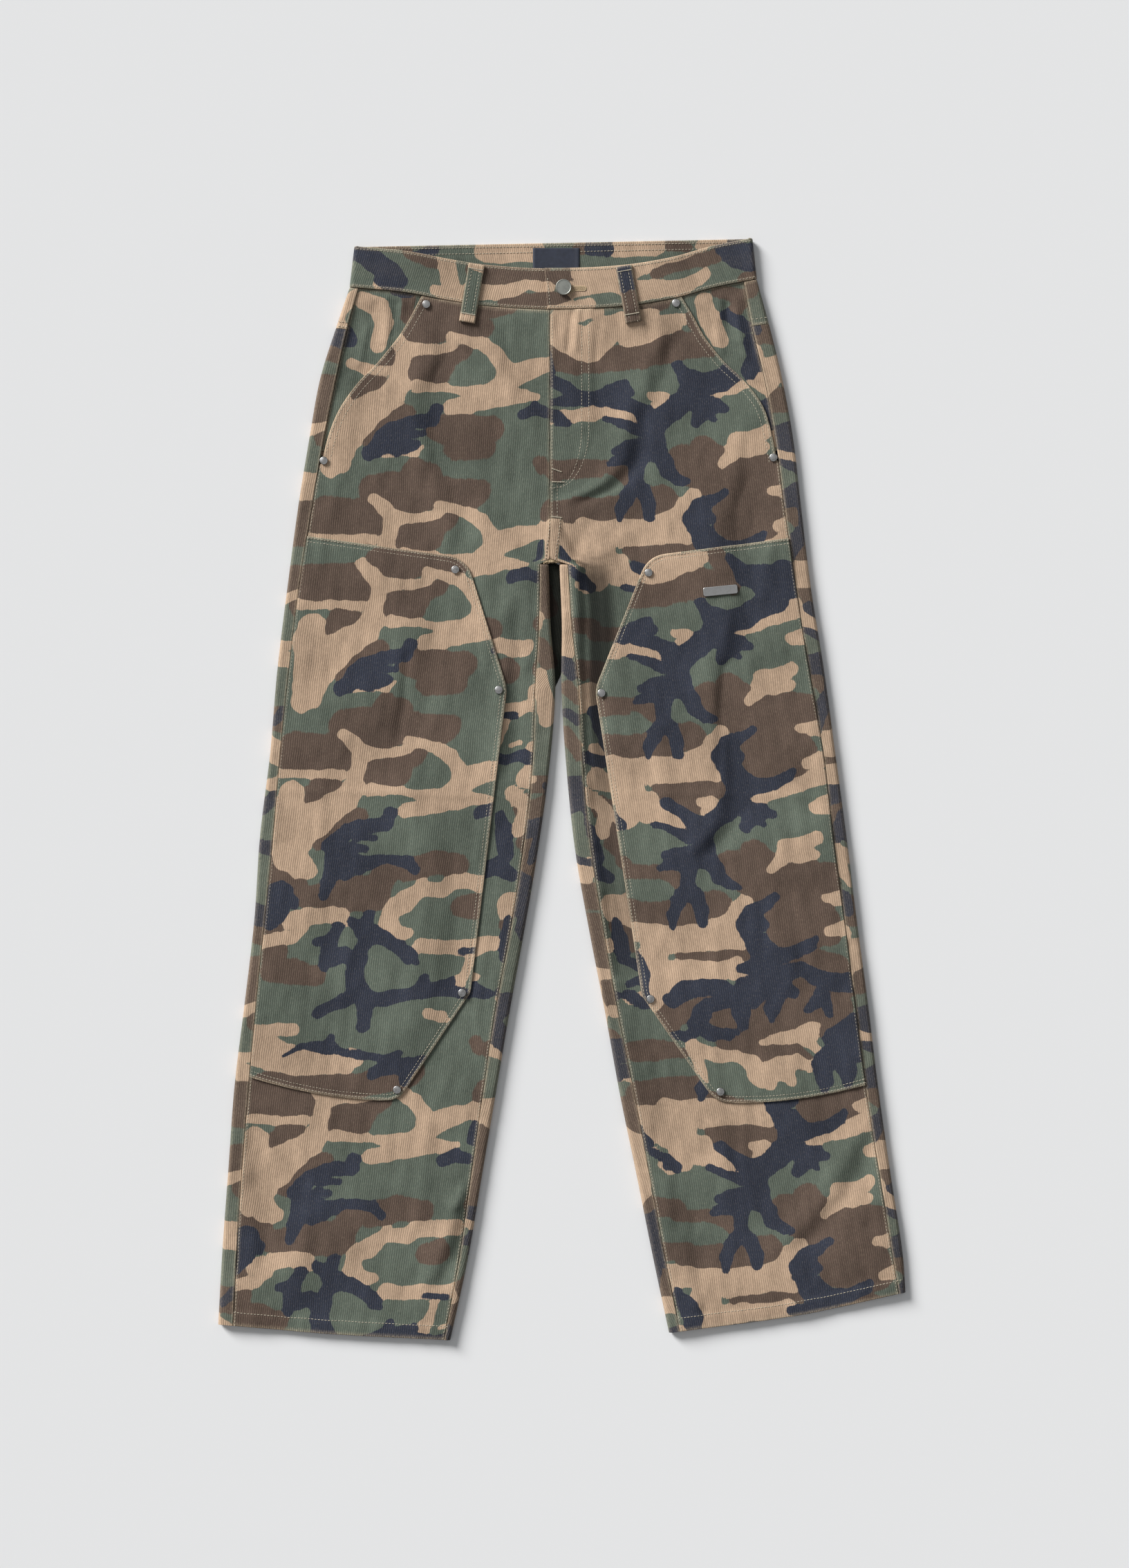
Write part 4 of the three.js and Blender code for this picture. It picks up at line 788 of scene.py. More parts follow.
def hollow(leg, x, y):
    """How little light gets into the hollow beside the left inseam, from 0 to 1."""
    if leg is not LEFT:
        return np.zeros(np.broadcast(x, y).shape)
    line = leg.drops[0][2]
    into = x - curve(line, "y", "x", np.clip(y, line["y"].min(), line["y"].max()))
    down = ease(*HOLLOW_TOP, y) * (0.42 + 0.58 * ease(*HOLLOW_FADE, y)) * ease(*HOLLOW_FOOT, y)
    near, far = HOLLOW_SIDES
    return HOLLOW_PAINTED_SHADE * ease(*near, into) * ease(*far, into) * down


def knee_surface(leg, x, y):
    """Top of the double knee, which lies on the front panel."""
    return front_surface(leg, x, y) + KNEE_GAP + KNEE_CLOTH


def band_underside(x, over):
    """Underside of the front of the waistband: the right end dips under the left one at the fly."""
    left = mix(BAND_OVER_Z, BAND_LEFT_Z, ease(30, 150, x))
    right = mix(BAND_RIGHT_Z, BAND_UNDER_Z, ease(-150, -35, x))
    return np.where(over, left, right)


def band_relief(x, v):
    """Gathers on the waistband, only ever below its smooth top."""
    edge = np.minimum(v, BAND_HEIGHT - v)
    wave = 0.5 + 0.5 * wander(x, v * 0.4, 7.5, 31)
    return -0.32 * wave * bell(edge - 4, 5) - 0.25 * (0.5 + 0.5 * wander(x, v, 24, 32))


def band_top(x, y):
    """Top of the front of the waistband."""
    v = np.clip(y - waist_y(x), 0, BAND_HEIGHT)
    return band_underside(x, x > BAND_OVER_END_X) + BAND_CLOTH + band_relief(x, v)


# ---- meshes ------------------------------------------------------------------------------------
def add_object(mesh, *materials):
    """Puts a finished mesh in the scene under its own name."""
    for material in materials:
        mesh.materials.append(material)
    mesh.shade_smooth()
    piece = bpy.data.objects.new(mesh.name, mesh)
    bpy.context.scene.collection.objects.link(piece)
    return piece


def mesh_from(name, points, faces):
    """A mesh from points in millimetres, its faces turned outwards."""
    points, faces = np.asarray(points, float), np.asarray(faces)
    a, b, c, d = (points[faces[:, k]] for k in range(4))
    volume = np.sum(a * np.cross(b, c)) + np.sum(a * np.cross(c, d))
    if volume < 0:
        faces = faces[:, ::-1]
    mesh = bpy.data.meshes.new(name)
    mesh.from_pydata((points * MM).tolist(), [], faces.tolist())
    mesh.update()
    return mesh


def corners(numbers):
    """The numbers at the four corners of every cell of a grid."""
    return numbers[:-1, :-1], numbers[:-1, 1:], numbers[1:, 1:], numbers[1:, :-1]


def cloth_piece(name, outside, inside, grain, chart, worn, present=None):
    """A closed shell of cloth from two matching grids, with its grain and print.

    `grain` holds the places on the flat cloth, across and along the wales. `chart` holds the
    print's distances, and on the fronts and backs the painted shade. `present` leaves cells out.
    """
    rows, columns = outside.shape[:2]
    top = np.arange(rows * columns).reshape(rows, columns)
    low = top + rows * columns
    if present is None:
        present = np.ones((rows - 1, columns - 1), bool)
    padded = np.pad(present, 1)
    o, n = corners(top), corners(low)

    def quads(where, *grids):
        return np.stack([grid[where] for grid in grids], -1)

    faces = np.concatenate((
        quads(present, *o), quads(present, *n[::-1]),
        quads(present & ~padded[:-2, 1:-1], n[0], n[1], o[1], o[0]),
        quads(present & ~padded[2:, 1:-1], n[2], n[3], o[3], o[2]),
        quads(present & ~padded[1:-1, :-2], n[3], n[0], o[0], o[3]),
        quads(present & ~padded[1:-1, 2:], n[1], n[2], o[2], o[1])))
    used, faces = np.unique(faces, return_inverse=True)
    faces = faces.reshape(-1, 4)

    def twice(values):
        return np.concatenate((values.reshape(rows * columns, -1),) * 2)[used]

    points = np.concatenate((outside.reshape(-1, 3), inside.reshape(-1, 3)))[used]
    mesh = mesh_from(name, points, faces)
    for attribute, values in dict(chart, worn=worn).items():
        layer = mesh.attributes.new(attribute, "FLOAT", "POINT")
        layer.data.foreach_set("value", twice(values).ravel())
    corner = np.empty(len(mesh.loops), int)
    mesh.loops.foreach_get("vertex_index", corner)
    mesh.uv_layers.new(name="grain").data.foreach_set("uv", (twice(grain)[corner] * MM).ravel())
    return add_object(mesh, bpy.data.materials["printed_pinwale_corduroy"])


def stops(length, cell=CELL):
    """Places from 0 to each length: even cells, with a few extra beside both ends."""
    length = np.atleast_1d(np.asarray(length, float))
    count = max(2, round(float(length.max() / cell)))
    ends = np.tile(EDGE_STOPS[:-1], (len(length), 1))
    first = EDGE_STOPS[-1]
    middle = first + np.linspace(0, 1, count) * (length[:, None] - 2 * first)
    return np.hstack((ends, middle, length[:, None] - ends[:, ::-1]))


def rounding(distance, radius=0.6):
    """How far a cut or folded edge falls away at a distance in from it."""
    into = radius - np.minimum(distance, radius)
    return radius - np.sqrt(radius * radius - into * into)


def meeting(line_x, height_at, start):
    """x where a line given as x for each y meets rows whose y depends on x."""
    x = start
    for _ in range(MEETING_ROUNDS):
        x = line_x(height_at(x))
    return x


def leg_levels():
    """Levels from 0 at the hem to 1 at the crotch and 2 at the top, and how far they lie apart."""
    leg_length = CROTCH_Y - RIGHT.hem["y"][1]
    hip_length = waist_y(CENTRE_X) - CROTCH_Y
    leg_rows = stops(leg_length)[0][:-len(EDGE_STOPS) + 1] / leg_length
    hip_rows = stops(hip_length)[0][len(EDGE_STOPS):] / hip_length
    above = hip_rows[hip_rows * hip_length > CROTCH_STEP + 1]
    return np.concatenate((leg_rows, [1 + CROTCH_STEP / hip_length], 1 + above))


def level_y(leg, level, x, top_y):
    """y of a level at x, on a piece that ends at top_y."""
    hip = mix(CROTCH_Y, top_y(x), level - 1)
    return np.where(level <= 1, mix(hem_y(leg, x), CROTCH_Y, level), hip)


def stack(x, y, z):
    """One grid of points from three grids or lines of coordinates."""
    return np.stack(np.broadcast_arrays(x, y, z), -1)


def lay(piece, node, *rests_on):
    """Puts a piece of cloth under the root and hides the solid it stands for. The cut it was made to
    is looked up but not used, and what it lies on is not used.
    """
    width, length, area = CUTS[node]
    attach(piece, "root")
    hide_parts(node)


# ---- leg pieces --------------------------------------------------------------------------------
def printed(leg, piece, grain):
    """The print on a piece's flat cloth."""
    tile_x, tile_y, x, y = PLACES[f"{piece}_{leg.name}"]
    straight = x if piece in ("back", "yoke") else x - lean_x(leg, y)
    return camouflage(grain[..., 0] - straight + tile_x, grain[..., 1] - y + tile_y)


def below_waist(x):
    """Top edge of the pieces that are sewn to the front of the waistband."""
    return waist_y(x) - SEAM_GAP / 2


def front_panel(leg):
    """A front, from hem to waist, with the pocket mouth cut out of its outer edge."""
    inward = -leg.sign * SEAM_GAP

    def outer_edge(y):
        seam = side_x(leg, y) + inward / 2
        mouth = leg.sign * np.minimum(leg.sign * seam, leg.sign * mouth_x(leg, y))
        return np.where(y > mouth_end(leg), mouth, seam)

    def inner_edge(y):
        return front_inner_x(leg, y) - inward / 2

    def height(x):
        return level_y(leg, level, x, below_waist)

    level = leg_levels()
    outer = meeting(outer_edge, height, np.full(level.shape, leg.sign * WELL_OUT))
    inner = meeting(inner_edge, height, np.full(level.shape, CENTRE_X))
    width = np.abs(inner - outer)
    place = stops(width)
    x = outer[:, None] + np.sign(inner - outer)[:, None] * place
    y = level_y(leg, level[:, None], x, below_waist)
    side = np.minimum(place, width[:, None] - place)
    end = np.minimum(y - hem_y(leg, x), waist_y(x) - y)
    edge = np.minimum(side, end)
    z = front_surface(leg, x, y) - rounding(edge)
    turned_up = 1 - ease(HEM_HEIGHT - 1, HEM_HEIGHT + 1, y - hem_y(leg, x))
    low = np.maximum(front_surface(leg, x, y) - CLOTH * (1 + 0.95 * turned_up), CLOTH + LIFT_OFF)
    outside, inside = stack(x, y, z), stack(x, y, low)
    on_mouth = bell(np.abs(x - mouth_x(leg, y)), 2.2) * (y > mouth_end(leg))
    strip = crotch_strip(x, y)
    worn = 0.75 * bell(end, 2.0) + 0.4 * bell(side, 1.8) + 0.5 * on_mouth + 1.6 * strip * (1 - strip)
    grain = np.stack((x - lean_x(leg, y), y), -1)
    chart = printed(leg, "front", grain)
    chart["tan"] = mix(chart["tan"], -4.0, strip)
    chart["navy"] = mix(chart["navy"], FAR, strip)
    # Painted shade: the hollow beside the left inseam is drawn darker.
    chart["deep"] = hollow(leg, x, y)
    piece = cloth_piece(f"front_{leg.name}_cloth", outside, inside, grain, chart, np.clip(worn, 0, 1))
    lay(piece, f"front_{leg.name}", f"back_{leg.name}_cloth")


def fork_spread(y):
    """How far the foot of the right leg's inner fold spreads towards the left leg below the crotch.
    The spread cloth closes the slot between the legs, where there is only shade, and is drawn dark
    with painted shade.
    """
    return (fold_x(LEFT, y) - fold_x(RIGHT, y) + 2.9) * ease(92, 116, y) * ease(CROTCH_Y + 1, CROTCH_Y, y)


def back_section(leg, level, height, folded_rows):
    """A back's wall at each level: side strip, outer fold, floor, inner fold and inseam strip.

    Gives its two faces, the distance round the section, and how worn each place is.
    """
    s = leg.sign
    centre, radius = FOLD_HEIGHT / 2, FOLD_HEIGHT / 2 - CLOTH / 2
    rows = np.full(level.shape, s * WELL_OUT)
    seam = meeting(lambda y: side_x(leg, y) + s * SEAM_GAP / 2, lambda x: height(x, 0.0), rows)
    outer = meeting(lambda y: outer_x(leg, y), lambda x: height(x, 0.5), rows) - s * centre
    fold = meeting(lambda y: fold_x(leg, y), lambda x: height(x, 1.0), rows) + s * centre
    inner = np.where(folded_rows, fold, CENTRE_X + s * SEAM_GAP / 2)
    inseam = meeting(lambda y: inseam_x(leg, y) - s * SEAM_GAP / 2, lambda x: height(x, 0.0), rows)
    inseam = np.where(folded_rows, inseam, inner)
    columns = []

    def column(x, angle, turn, under):
        """One column of points: its middle line, and the way its outside faces."""
        sine, cosine = np.sin(angle), np.cos(angle)
        at = x + turn * radius * sine
        columns.append((at, centre + radius * cosine + 0 * at, turn * sine, cosine, under))

    for k in np.array(STRIP_STOPS) / 10:
        column(mix(seam, outer, k), 0.0, s, 0.0)
    for k in np.linspace(0, 1, FOLD_STEPS + 1):
        column(outer, np.pi * k, s, k)
    for k in np.linspace(0, 1, FLOOR_STEPS + 1)[1:-1]:
        column(mix(outer, inner, k), np.pi, s, 1.0)
    for k in np.linspace(1, 0, FOLD_STEPS + 1):
        column(inner, np.pi * k, -s, k)
    for k in 1 - np.array(STRIP_STOPS[::-1]) / 10:
        column(mix(inner, inseam, k), 0.0, s, 0.0)
    x, z, nx, nz, under = (
        np.stack([np.broadcast_to(part, level.shape) for part in parts], 1) for parts in zip(*columns))
    y = np.stack([height(x[:, k], under[:, k]) for k in range(x.shape[1])], 1)
    half = CLOTH / 2
    # The right leg's foot spreads across the slot between the legs, a sheet of cloth where there is only
    # shade; back_panel draws it near black with painted shade.
    if leg is RIGHT:
        foot = ease(0.70, 0.86, under) * (x > (outer + inner)[:, None] / 2)
        x = x + fork_spread(y) * foot
        thinned = 0.45 * half * foot * ease(0, 4, fork_spread(y))
        z, half = z - thinned, half - thinned
    top = (1 + nz) / 2
    from_seam = np.abs(x - seam[:, None])
    from_inseam = np.abs(x - inseam[:, None])
    upper = (under == 0)
    lift = pucker(from_seam, y, 41) + pucker(from_inseam, y, 42) + 0.45 * wander(x * 0.3, y, 38, 43)
    z = z + lift * top * (z > centre)
    fall = rounding(np.minimum(from_seam, from_inseam)) * upper
    outside = stack(x + nx * half, y, z + nz * half - fall)
    inside = stack(x - nx * half, y, z - nz * half)
    run = np.linalg.norm(np.diff(outside[..., [0, 2]], axis=1), axis=-1)
    around = np.concatenate((np.zeros((len(level), 1)), np.cumsum(run, 1)), 1)
    seams_worn = 0.6 * bell(from_seam, 1.6) + 0.6 * bell(from_inseam, 1.6)
    worn = upper * seams_worn + 0.22 * bell(under - 0.3, 0.3)
    return outside, inside, around, np.clip(worn, 0, 1)


def back_panel(leg):
    """A back: it lies on the floor and folds up round both sides of its leg."""
    level = leg_levels()

    def below_yoke(x):
        return yoke_seam_y(leg, x) - SEAM_GAP / 2

    def height(x, _under):
        return level_y(leg, level, x, below_yoke)

    folded = level <= 1
    outside, inside, around, worn = back_section(leg, level, height, folded)
    present = np.ones((len(level) - 1, outside.shape[1] - 1), bool)
    present[np.count_nonzero(folded) - 1:, FOLDED_FROM:] = False
    grain = np.stack((around, outside[..., 1]), -1)
    chart = printed(leg, "back", grain)
    x, y = outside[..., 0], outside[..., 1]
    strip = camouflage(x + STRIP_PLACES[leg.name], y, NARROW_PRINT)
    on_strip = (np.arange(x.shape[1]) >= FOLDED_FROM) & (y > STRIP_PRINT_FROM)
    chart = {colour: np.where(on_strip, strip[colour], chart[colour]) for colour in chart}
    # Painted shade: the right leg's foot, spread across the slot between the legs, is drawn near black.
    deep = np.zeros(x.shape)
    if leg is RIGHT:
        foot = slice(FOLDED_FROM - 4, FOLDED_FROM + 6)
        deep[:, foot] = ease(0.5, 5, fork_spread(y[:, foot]))
    chart["deep"] = deep
    piece = cloth_piece(f"back_{leg.name}_cloth", outside, inside, grain, chart, worn, present)
    lay(piece, f"back_{leg.name}")


def yoke(leg):
    """A back yoke, which comes round the side as far as the side seam."""
    level = 1 + stops(YOKE_ROWS)[0] / YOKE_ROWS
    level[0] += 1e-6

    def height(x, under):
        above_seam = yoke_seam_y(leg, x) + SEAM_GAP / 2
        return mix(above_seam, mix(waist_y(x), back_waist_y(x), under) - SEAM_GAP / 2, level - 1)

    outside, inside, around, worn = back_section(leg, level, height, np.zeros(level.shape, bool))
    keep = slice(0, FOLDED_FROM)
    end = np.minimum(level - 1, 2 - level) * YOKE_ROWS
    shade = np.clip(worn + 0.8 * bell(end, 2.0)[:, None], 0, 1)
    outside[..., 2] -= (rounding(end)[:, None]) * (outside[..., 2] > FOLD_HEIGHT / 2)
    grain = np.stack((around, outside[..., 1]), -1)
    piece = cloth_piece(
        f"yoke_{leg.name}_cloth", outside[:, keep], inside[:, keep], grain[:, keep],
        printed(leg, "yoke", grain[:, keep]), shade[:, keep])
    lay(piece, f"yoke_{leg.name}")


def pocket_facing(leg):
    """The facing that shows in a pocket mouth, tucked under the front along it."""
    s = leg.sign
    share = stops(FACING_ROWS)[0] / FACING_ROWS

    def height(x):
        return mix(FACING_LOWER_Y, below_waist(x), share)

    outer = meeting(lambda y: side_x(leg, y) - s * SEAM_GAP / 2, height, np.full(share.shape, s * 200.0))
    inner = meeting(lambda y: mouth_x(leg, y) - s * FACING_TUCK, height, np.full(share.shape, s * 160.0))
    place = stops(np.abs(inner - outer))
    x = outer[:, None] - s * place
    y = mix(FACING_LOWER_Y, below_waist(x), share[:, None])
    under_front = CLOTH + LAY_GAP
    z = front_surface(leg, x, y) - under_front
    outside_mouth = ease(0, 5, s * (x - mouth_x(leg, y)))
    z = z + 1.3 * outside_mouth * ease(26, 3, below_waist(x) - y)
    for x0, y0, x1, y1, wide, lift in FACING_FOLDS:
        z = z + lift * outside_mouth * bell(line_distance(x, y, s * x0, y0, s * x1, y1), wide)
    z = np.maximum(z, CLOTH + SEAM_GAP + FACING_CLOTH)
    outside, inside = stack(x, y, z), stack(x, y, z - FACING_CLOTH)
    edge = np.minimum(place, y - FACING_LOWER_Y)
    grain = np.stack((x - 1.6 * lean_x(leg, y), y), -1)
    chart = camouflage(x + FACING_PLACES[leg.name], y, NARROW_PRINT)
    worn = np.clip(0.6 * bell(edge, 1.6) + 0.6 * bell(waist_y(x) - y, 1.8), 0, 1)
    piece = cloth_piece(f"pocket_facing_{leg.name}_cloth", outside, inside, grain, chart, worn)
    lay(piece, f"pocket_facing_{leg.name}", f"back_{leg.name}_cloth")


def knee_edge(leg):
    """Points along the double knee's free edge, its corners rounded."""
    start = (side_x(leg, leg.knee_top), leg.knee_top)
    end = (side_x(leg, leg.knee_bottom), leg.knee_bottom)
    corners = np.array([leg.knee["x"], leg.knee["y"]]).T
    outline = np.vstack((start, corners, end))
    points = []
    for k, radius in enumerate(leg.knee["round"]):
        corner = outline[k + 1]
        back, on = outline[k] - corner, outline[k + 2] - corner
        back, on = back / np.linalg.norm(back), on / np.linalg.norm(on)
        reach = radius / np.tan(np.arccos(np.clip(back @ on, -1, 1)) / 2)
        t = np.linspace(0, 1, 13)[:, None]
        before, after = corner + back * reach, corner + on * reach
        bend = (1 - t) ** 2 * before + 2 * t * (1 - t) * corner + t * t * after
        points.extend(bend)
    return resample(np.array(points), CELL)


def resample(line, spacing):
    """The same line with points an even distance apart."""
    step = np.linalg.norm(np.diff(line, axis=0), axis=1)
    run = np.concatenate(([0], np.cumsum(step)))
    at = np.linspace(0, run[-1], max(2, round(run[-1] / spacing) + 1))
    return np.stack([np.interp(at, run, line[:, k]) for k in range(line.shape[1])], 1)


def knee_grid(leg):
    """Places of the double knee, from the side seam to its free edge and from top to bottom."""
    edge = knee_edge(leg)
    t = (edge[0, 1] - edge[:, 1]) / (edge[0, 1] - edge[-1, 1])
    side_y = mix(leg.knee_top, leg.knee_bottom, t)
    seam = side_x(leg, side_y) - leg.sign * SEAM_GAP / 2
    width = np.abs(edge[:, 0] - seam)
    place = stops(width)
    u = place / width[:, None]
    x = mix(seam[:, None], edge[:, 0, None], u)
    bow = leg.knee_bow * ease(0.93, 1.0, t)
    y = mix(side_y[:, None], edge[:, 1, None], u) + 4 * bow[:, None] * u * (1 - u)
    return x, y


def distance_to(line, x, y):
    """Distance of each place to a line of points."""
    fine = resample(line, 0.4)
    tree = kdtree.KDTree(len(fine))
    for k, (px, py) in enumerate(fine):
        tree.insert((px, py, 0), k)
    tree.balance()
    found = [tree.find((px, py, 0))[2] for px, py in zip(np.ravel(x), np.ravel(y))]
    return np.reshape(found, np.shape(x))


def knee_panel(leg):
    """The double knee, sewn and riveted on to the front along its three free sides."""
    x, y = knee_grid(leg)
    grid = np.stack((x, y), -1)
    free = np.vstack((grid[0], grid[:, -1], grid[-1, ::-1]))
    edge = distance_to(free, x, y)
    edge[0], edge[-1], edge[:, -1] = 0, 0, 0
    sewn = 0.3 * bell(edge - 4, 3.0) * wander(x, y, 8, 51) - 0.35 * bell(edge - 3.4, 2.4)
    z = knee_surface(leg, x, y) + np.minimum(sewn, 0.3)
    outside = stack(x, y, z - rounding(np.minimum(edge, np.abs(x - side_x(leg, y))), 1.1))
    inside = stack(x, y, knee_surface(leg, x, y) - KNEE_CLOTH)
    grain = np.stack((x - lean_x(leg, y), y), -1)
    piece = cloth_piece(
        f"knee_panel_{leg.name}_cloth", outside, inside, grain, printed(leg, "knee", grain),
        np.clip(0.9 * bell(edge, 1.7) + 0.25 * bell(np.abs(x - side_x(leg, y)), 1.5), 0, 1))
    lay(piece, f"knee_panel_{leg.name}", f"front_{leg.name}_cloth")


# ---- waistband and its trim --------------------------------------------------------------------
def band_section():
    """The waistband's course: from the end below at the fly, round behind, to the end on top.

    Gives x, the middle height, the way the outside faces, how far each place is turned under, and
    whether it belongs to the end that lies on top.
    """
    half = BAND_CLOTH / 2
    right, left = BAND_FOLDS["x"]
    right_turn, left_turn = BAND_RIGHT_Z / 2, BAND_LEFT_Z / 2
    right_x, left_x = right + right_turn + half, left - left_turn - half
    parts = []

    def flat(start, end, over):
        """A stretch that lies on the front."""
        x = start + np.sign(end - start) * stops(abs(end - start))[0]
        parts.append((x, band_underside(x, over) + half, 0 * x, 1 + 0 * x, 0 * x, over + 0 * x))

    def turn(x, radius, side, under, over):
        """The fold at one side, from above to below or back."""
        angle = np.pi * under
        z = half + radius + radius * np.cos(angle)
        out = side * np.sin(angle)
        parts.append((x + side * radius * np.sin(angle), z, out, np.cos(angle), under, over + 0 * angle))

    steps = np.linspace(0, 1, FOLD_STEPS + 1)[1:-1]
    flat(BAND_UNDER_END_X, right_x, 0.0)
    turn(right_x, right_turn, -1.0, steps, 0.0)
    x = right_x + stops(left_x - right_x)[0]
    parts.append((x, half + 0 * x, 0 * x, -1 + 0 * x, 1 + 0 * x, 0 * x))
    turn(left_x, left_turn, 1.0, steps[::-1], 1.0)
    flat(left_x, BAND_OVER_END_X, 1.0)
    return [np.concatenate([part[k] for part in parts]) for k in range(6)]


def waistband():
    """The waistband, one doubled strip that runs round from end to end."""
    x, z, nx, nz, under, over = band_section()
    v = stops(BAND_HEIGHT - SEAM_GAP / 2)[0][:, None]
    share = v / BAND_HEIGHT
    folds = np.where(x < 0, *BAND_FOLDS["y"])
    seam_y = np.where(under == 1, back_waist_y(x), np.where(under == 0, waist_y(x), folds))
    from_end = np.minimum(np.abs(np.arange(len(x))), np.abs(np.arange(len(x)) - len(x) + 1)) * CELL
    lean = BAND_OVER_LEAN * (over == 1) * ease(12, 0, x - BAND_OVER_END_X) * (under == 0)
    grid_x = x * (1 - BAND_TAPER * share) + lean * share
    grid_y = seam_y + SEAM_GAP / 2 + v
    edge = np.minimum(np.minimum(v, BAND_HEIGHT - SEAM_GAP / 2 - v), from_end)
    full = BAND_CLOTH / 2 - rounding(edge, 1.25) * 0.85
    relief = band_relief(grid_x, v) * (1 + nz) / 2
    inner_rows = -0.25 * (under == 1) * (bell(BAND_HEIGHT - v - 4, 1.6) + bell(BAND_HEIGHT - v - 9, 1.6))
    outside = stack(grid_x + nx * full, grid_y, z + nz * full + relief)
    inside = stack(grid_x - nx * full, grid_y, z - nz * full + inner_rows)
    run = np.concatenate(([0], np.cumsum(np.hypot(np.diff(x), np.diff(z)))))
    tilt = np.where(over == 1, -0.23, 0.21)
    grain = np.stack((run + tilt * v, v + 0 * run), -1)
    worn = 0.7 * bell(edge, 2.2) + 0.25 * bell(v - 20, 9) * bell(under - 0.4, 0.3)
    chart = camouflage(grid_x + BEHIND * (under > 0.5), v + 0 * grid_x, NARROW_PRINT)
    piece = cloth_piece("waistband_cloth", outside, inside, grain, chart, np.clip(worn, 0, 1))
    lay(piece, "waistband", "yoke_right_cloth", "yoke_left_cloth")


def loop_underside(x, y):
    """Underside of a belt loop: on the band, then down on to the panel."""
    on_band = band_underside(x, x > BAND_OVER_END_X) + BAND_CLOTH + SEAM_GAP
    on_panel = np.minimum(PANEL_HIGHEST + SEAM_GAP, on_band)
    return mix(on_panel, on_band, ease(-13, -3, y - waist_y(x)))


def belt_loop(leg):
    """A folded strip that lies on the band, then drops on to the panel below the waist seam."""
    (x0, x1), (y0, y1) = leg.loop["x"], leg.loop["y"]
    length = float(np.hypot(x1 - x0, y1 - y0))
    along = stops(length, 1.0)[0][:, None]
    across = stops(LOOP_WIDTH, 1.0)[0] - LOOP_WIDTH / 2
    v = along / length
    tilt = (x1 - x0) / (y1 - y0)
    x = mix(x0, x1, v) + across
    y = mix(y0, y1, v) - across * tilt
    base = loop_underside(x, y)
    ends = np.minimum(along, length - along)
    sides = LOOP_WIDTH / 2 - np.abs(across)
    grooves = bell(sides - 4.2, 0.9)
    arch = 0.25 * (1 - (2 * across / LOOP_WIDTH) ** 2) + 0.5 * bell(ends - 3, 3.5) - 0.22 * grooves
    z = base + LOOP_CLOTH + arch - rounding(np.minimum(ends, sides), 1.0)
    outside = stack(x, y, z)
    inside = stack(x, y, base)
    grain = stack(across + 0 * along, along + 0 * across, 0)[..., :2]
    piece = cloth_piece(
        f"belt_loop_{leg.name}_cloth", outside, inside, grain,
        camouflage(grain[..., 0] + LOOP_PLACES[leg.name], grain[..., 1], NARROW_PRINT),
        np.clip(0.8 * bell(sides, 1.3) + 0.5 * bell(ends, 1.6) + 0 * x, 0, 1))
    lay(piece, f"belt_loop_{leg.name}", "waistband_cloth", f"front_{leg.name}_cloth")


def low_high(node):
    """A node's lowest and highest corners in millimetres."""
    low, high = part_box(node)
    return np.array(low) / MM, np.array(high) / MM


def waist_label():
    """A bare woven label with its two ends folded under and tacked to the band."""
    low, high = low_high("waist_label")
    x = low[0] + stops(high[0] - low[0], 1.0)[0]
    y = low[1] + stops(high[1] - low[1], 1.0)[0][:, None]
    edge = np.minimum(np.minimum(x - low[0], high[0] - x), np.minimum(y - low[1], high[1] - y))
    folded = 0.22 * (bell(x - low[0] - 2.2, 1.8) + bell(high[0] - x - 2.2, 1.8))
    z = high[2] - 0.1 + folded - 0.35 * (1 - ease(0, 0.9, edge)) + 0.12 * wander(x, y, 11, 61)
    grid = stack(x, y, z)
    under = stack(x, y, low[2] + 0 * z)
    rows, columns = grid.shape[:2]
    number = np.arange(rows * columns).reshape(rows, columns)
    rim = np.concatenate((number[0, :-1], number[:-1, -1], number[-1, :0:-1], number[:0:-1, 0]))
    after = np.roll(rim, -1)
    shift = rows * columns
    faces = np.concatenate((
        np.stack([grid.ravel() for grid in corners(number)], 1),
        np.stack([grid.ravel() for grid in corners(number + shift)[::-1]], 1),
        np.stack((rim + shift, after + shift, after, rim), 1)))
    points = np.concatenate((grid.reshape(-1, 3), under.reshape(-1, 3)))
    piece = add_object(mesh_from("waist_label_cloth", points, faces), bpy.data.materials["damask_label"])
    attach(piece, "root")
    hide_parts("waist_label")


# ---- metal -------------------------------------------------------------------------------------
def turned(name, profile, segments, material):
    """A round piece from (radius, height) pairs, standing on the origin."""
    angle = np.linspace(0, 2 * np.pi, segments, endpoint=False)
    rings = [np.stack((r * np.cos(angle), r * np.sin(angle), h + 0 * angle), 1) for r, h in profile]
    points = np.concatenate(rings)
    faces = []
    for first in range(0, (len(profile) - 1) * segments, segments):
        for i in range(segments):
            j = (i + 1) % segments
            faces.append((first + i, first + j, first + segments + j, first + segments + i))
    mesh = bpy.data.meshes.new(name)
    bottom, top = range(segments)[::-1], range((len(profile) - 1) * segments, len(profile) * segments)
    mesh.from_pydata((points * MM).tolist(), [], faces + [tuple(bottom), tuple(top)])
    mesh.update()
    return add_object(mesh, material)


RIVET_SIDES = 28
BUTTON_SIDES = 64
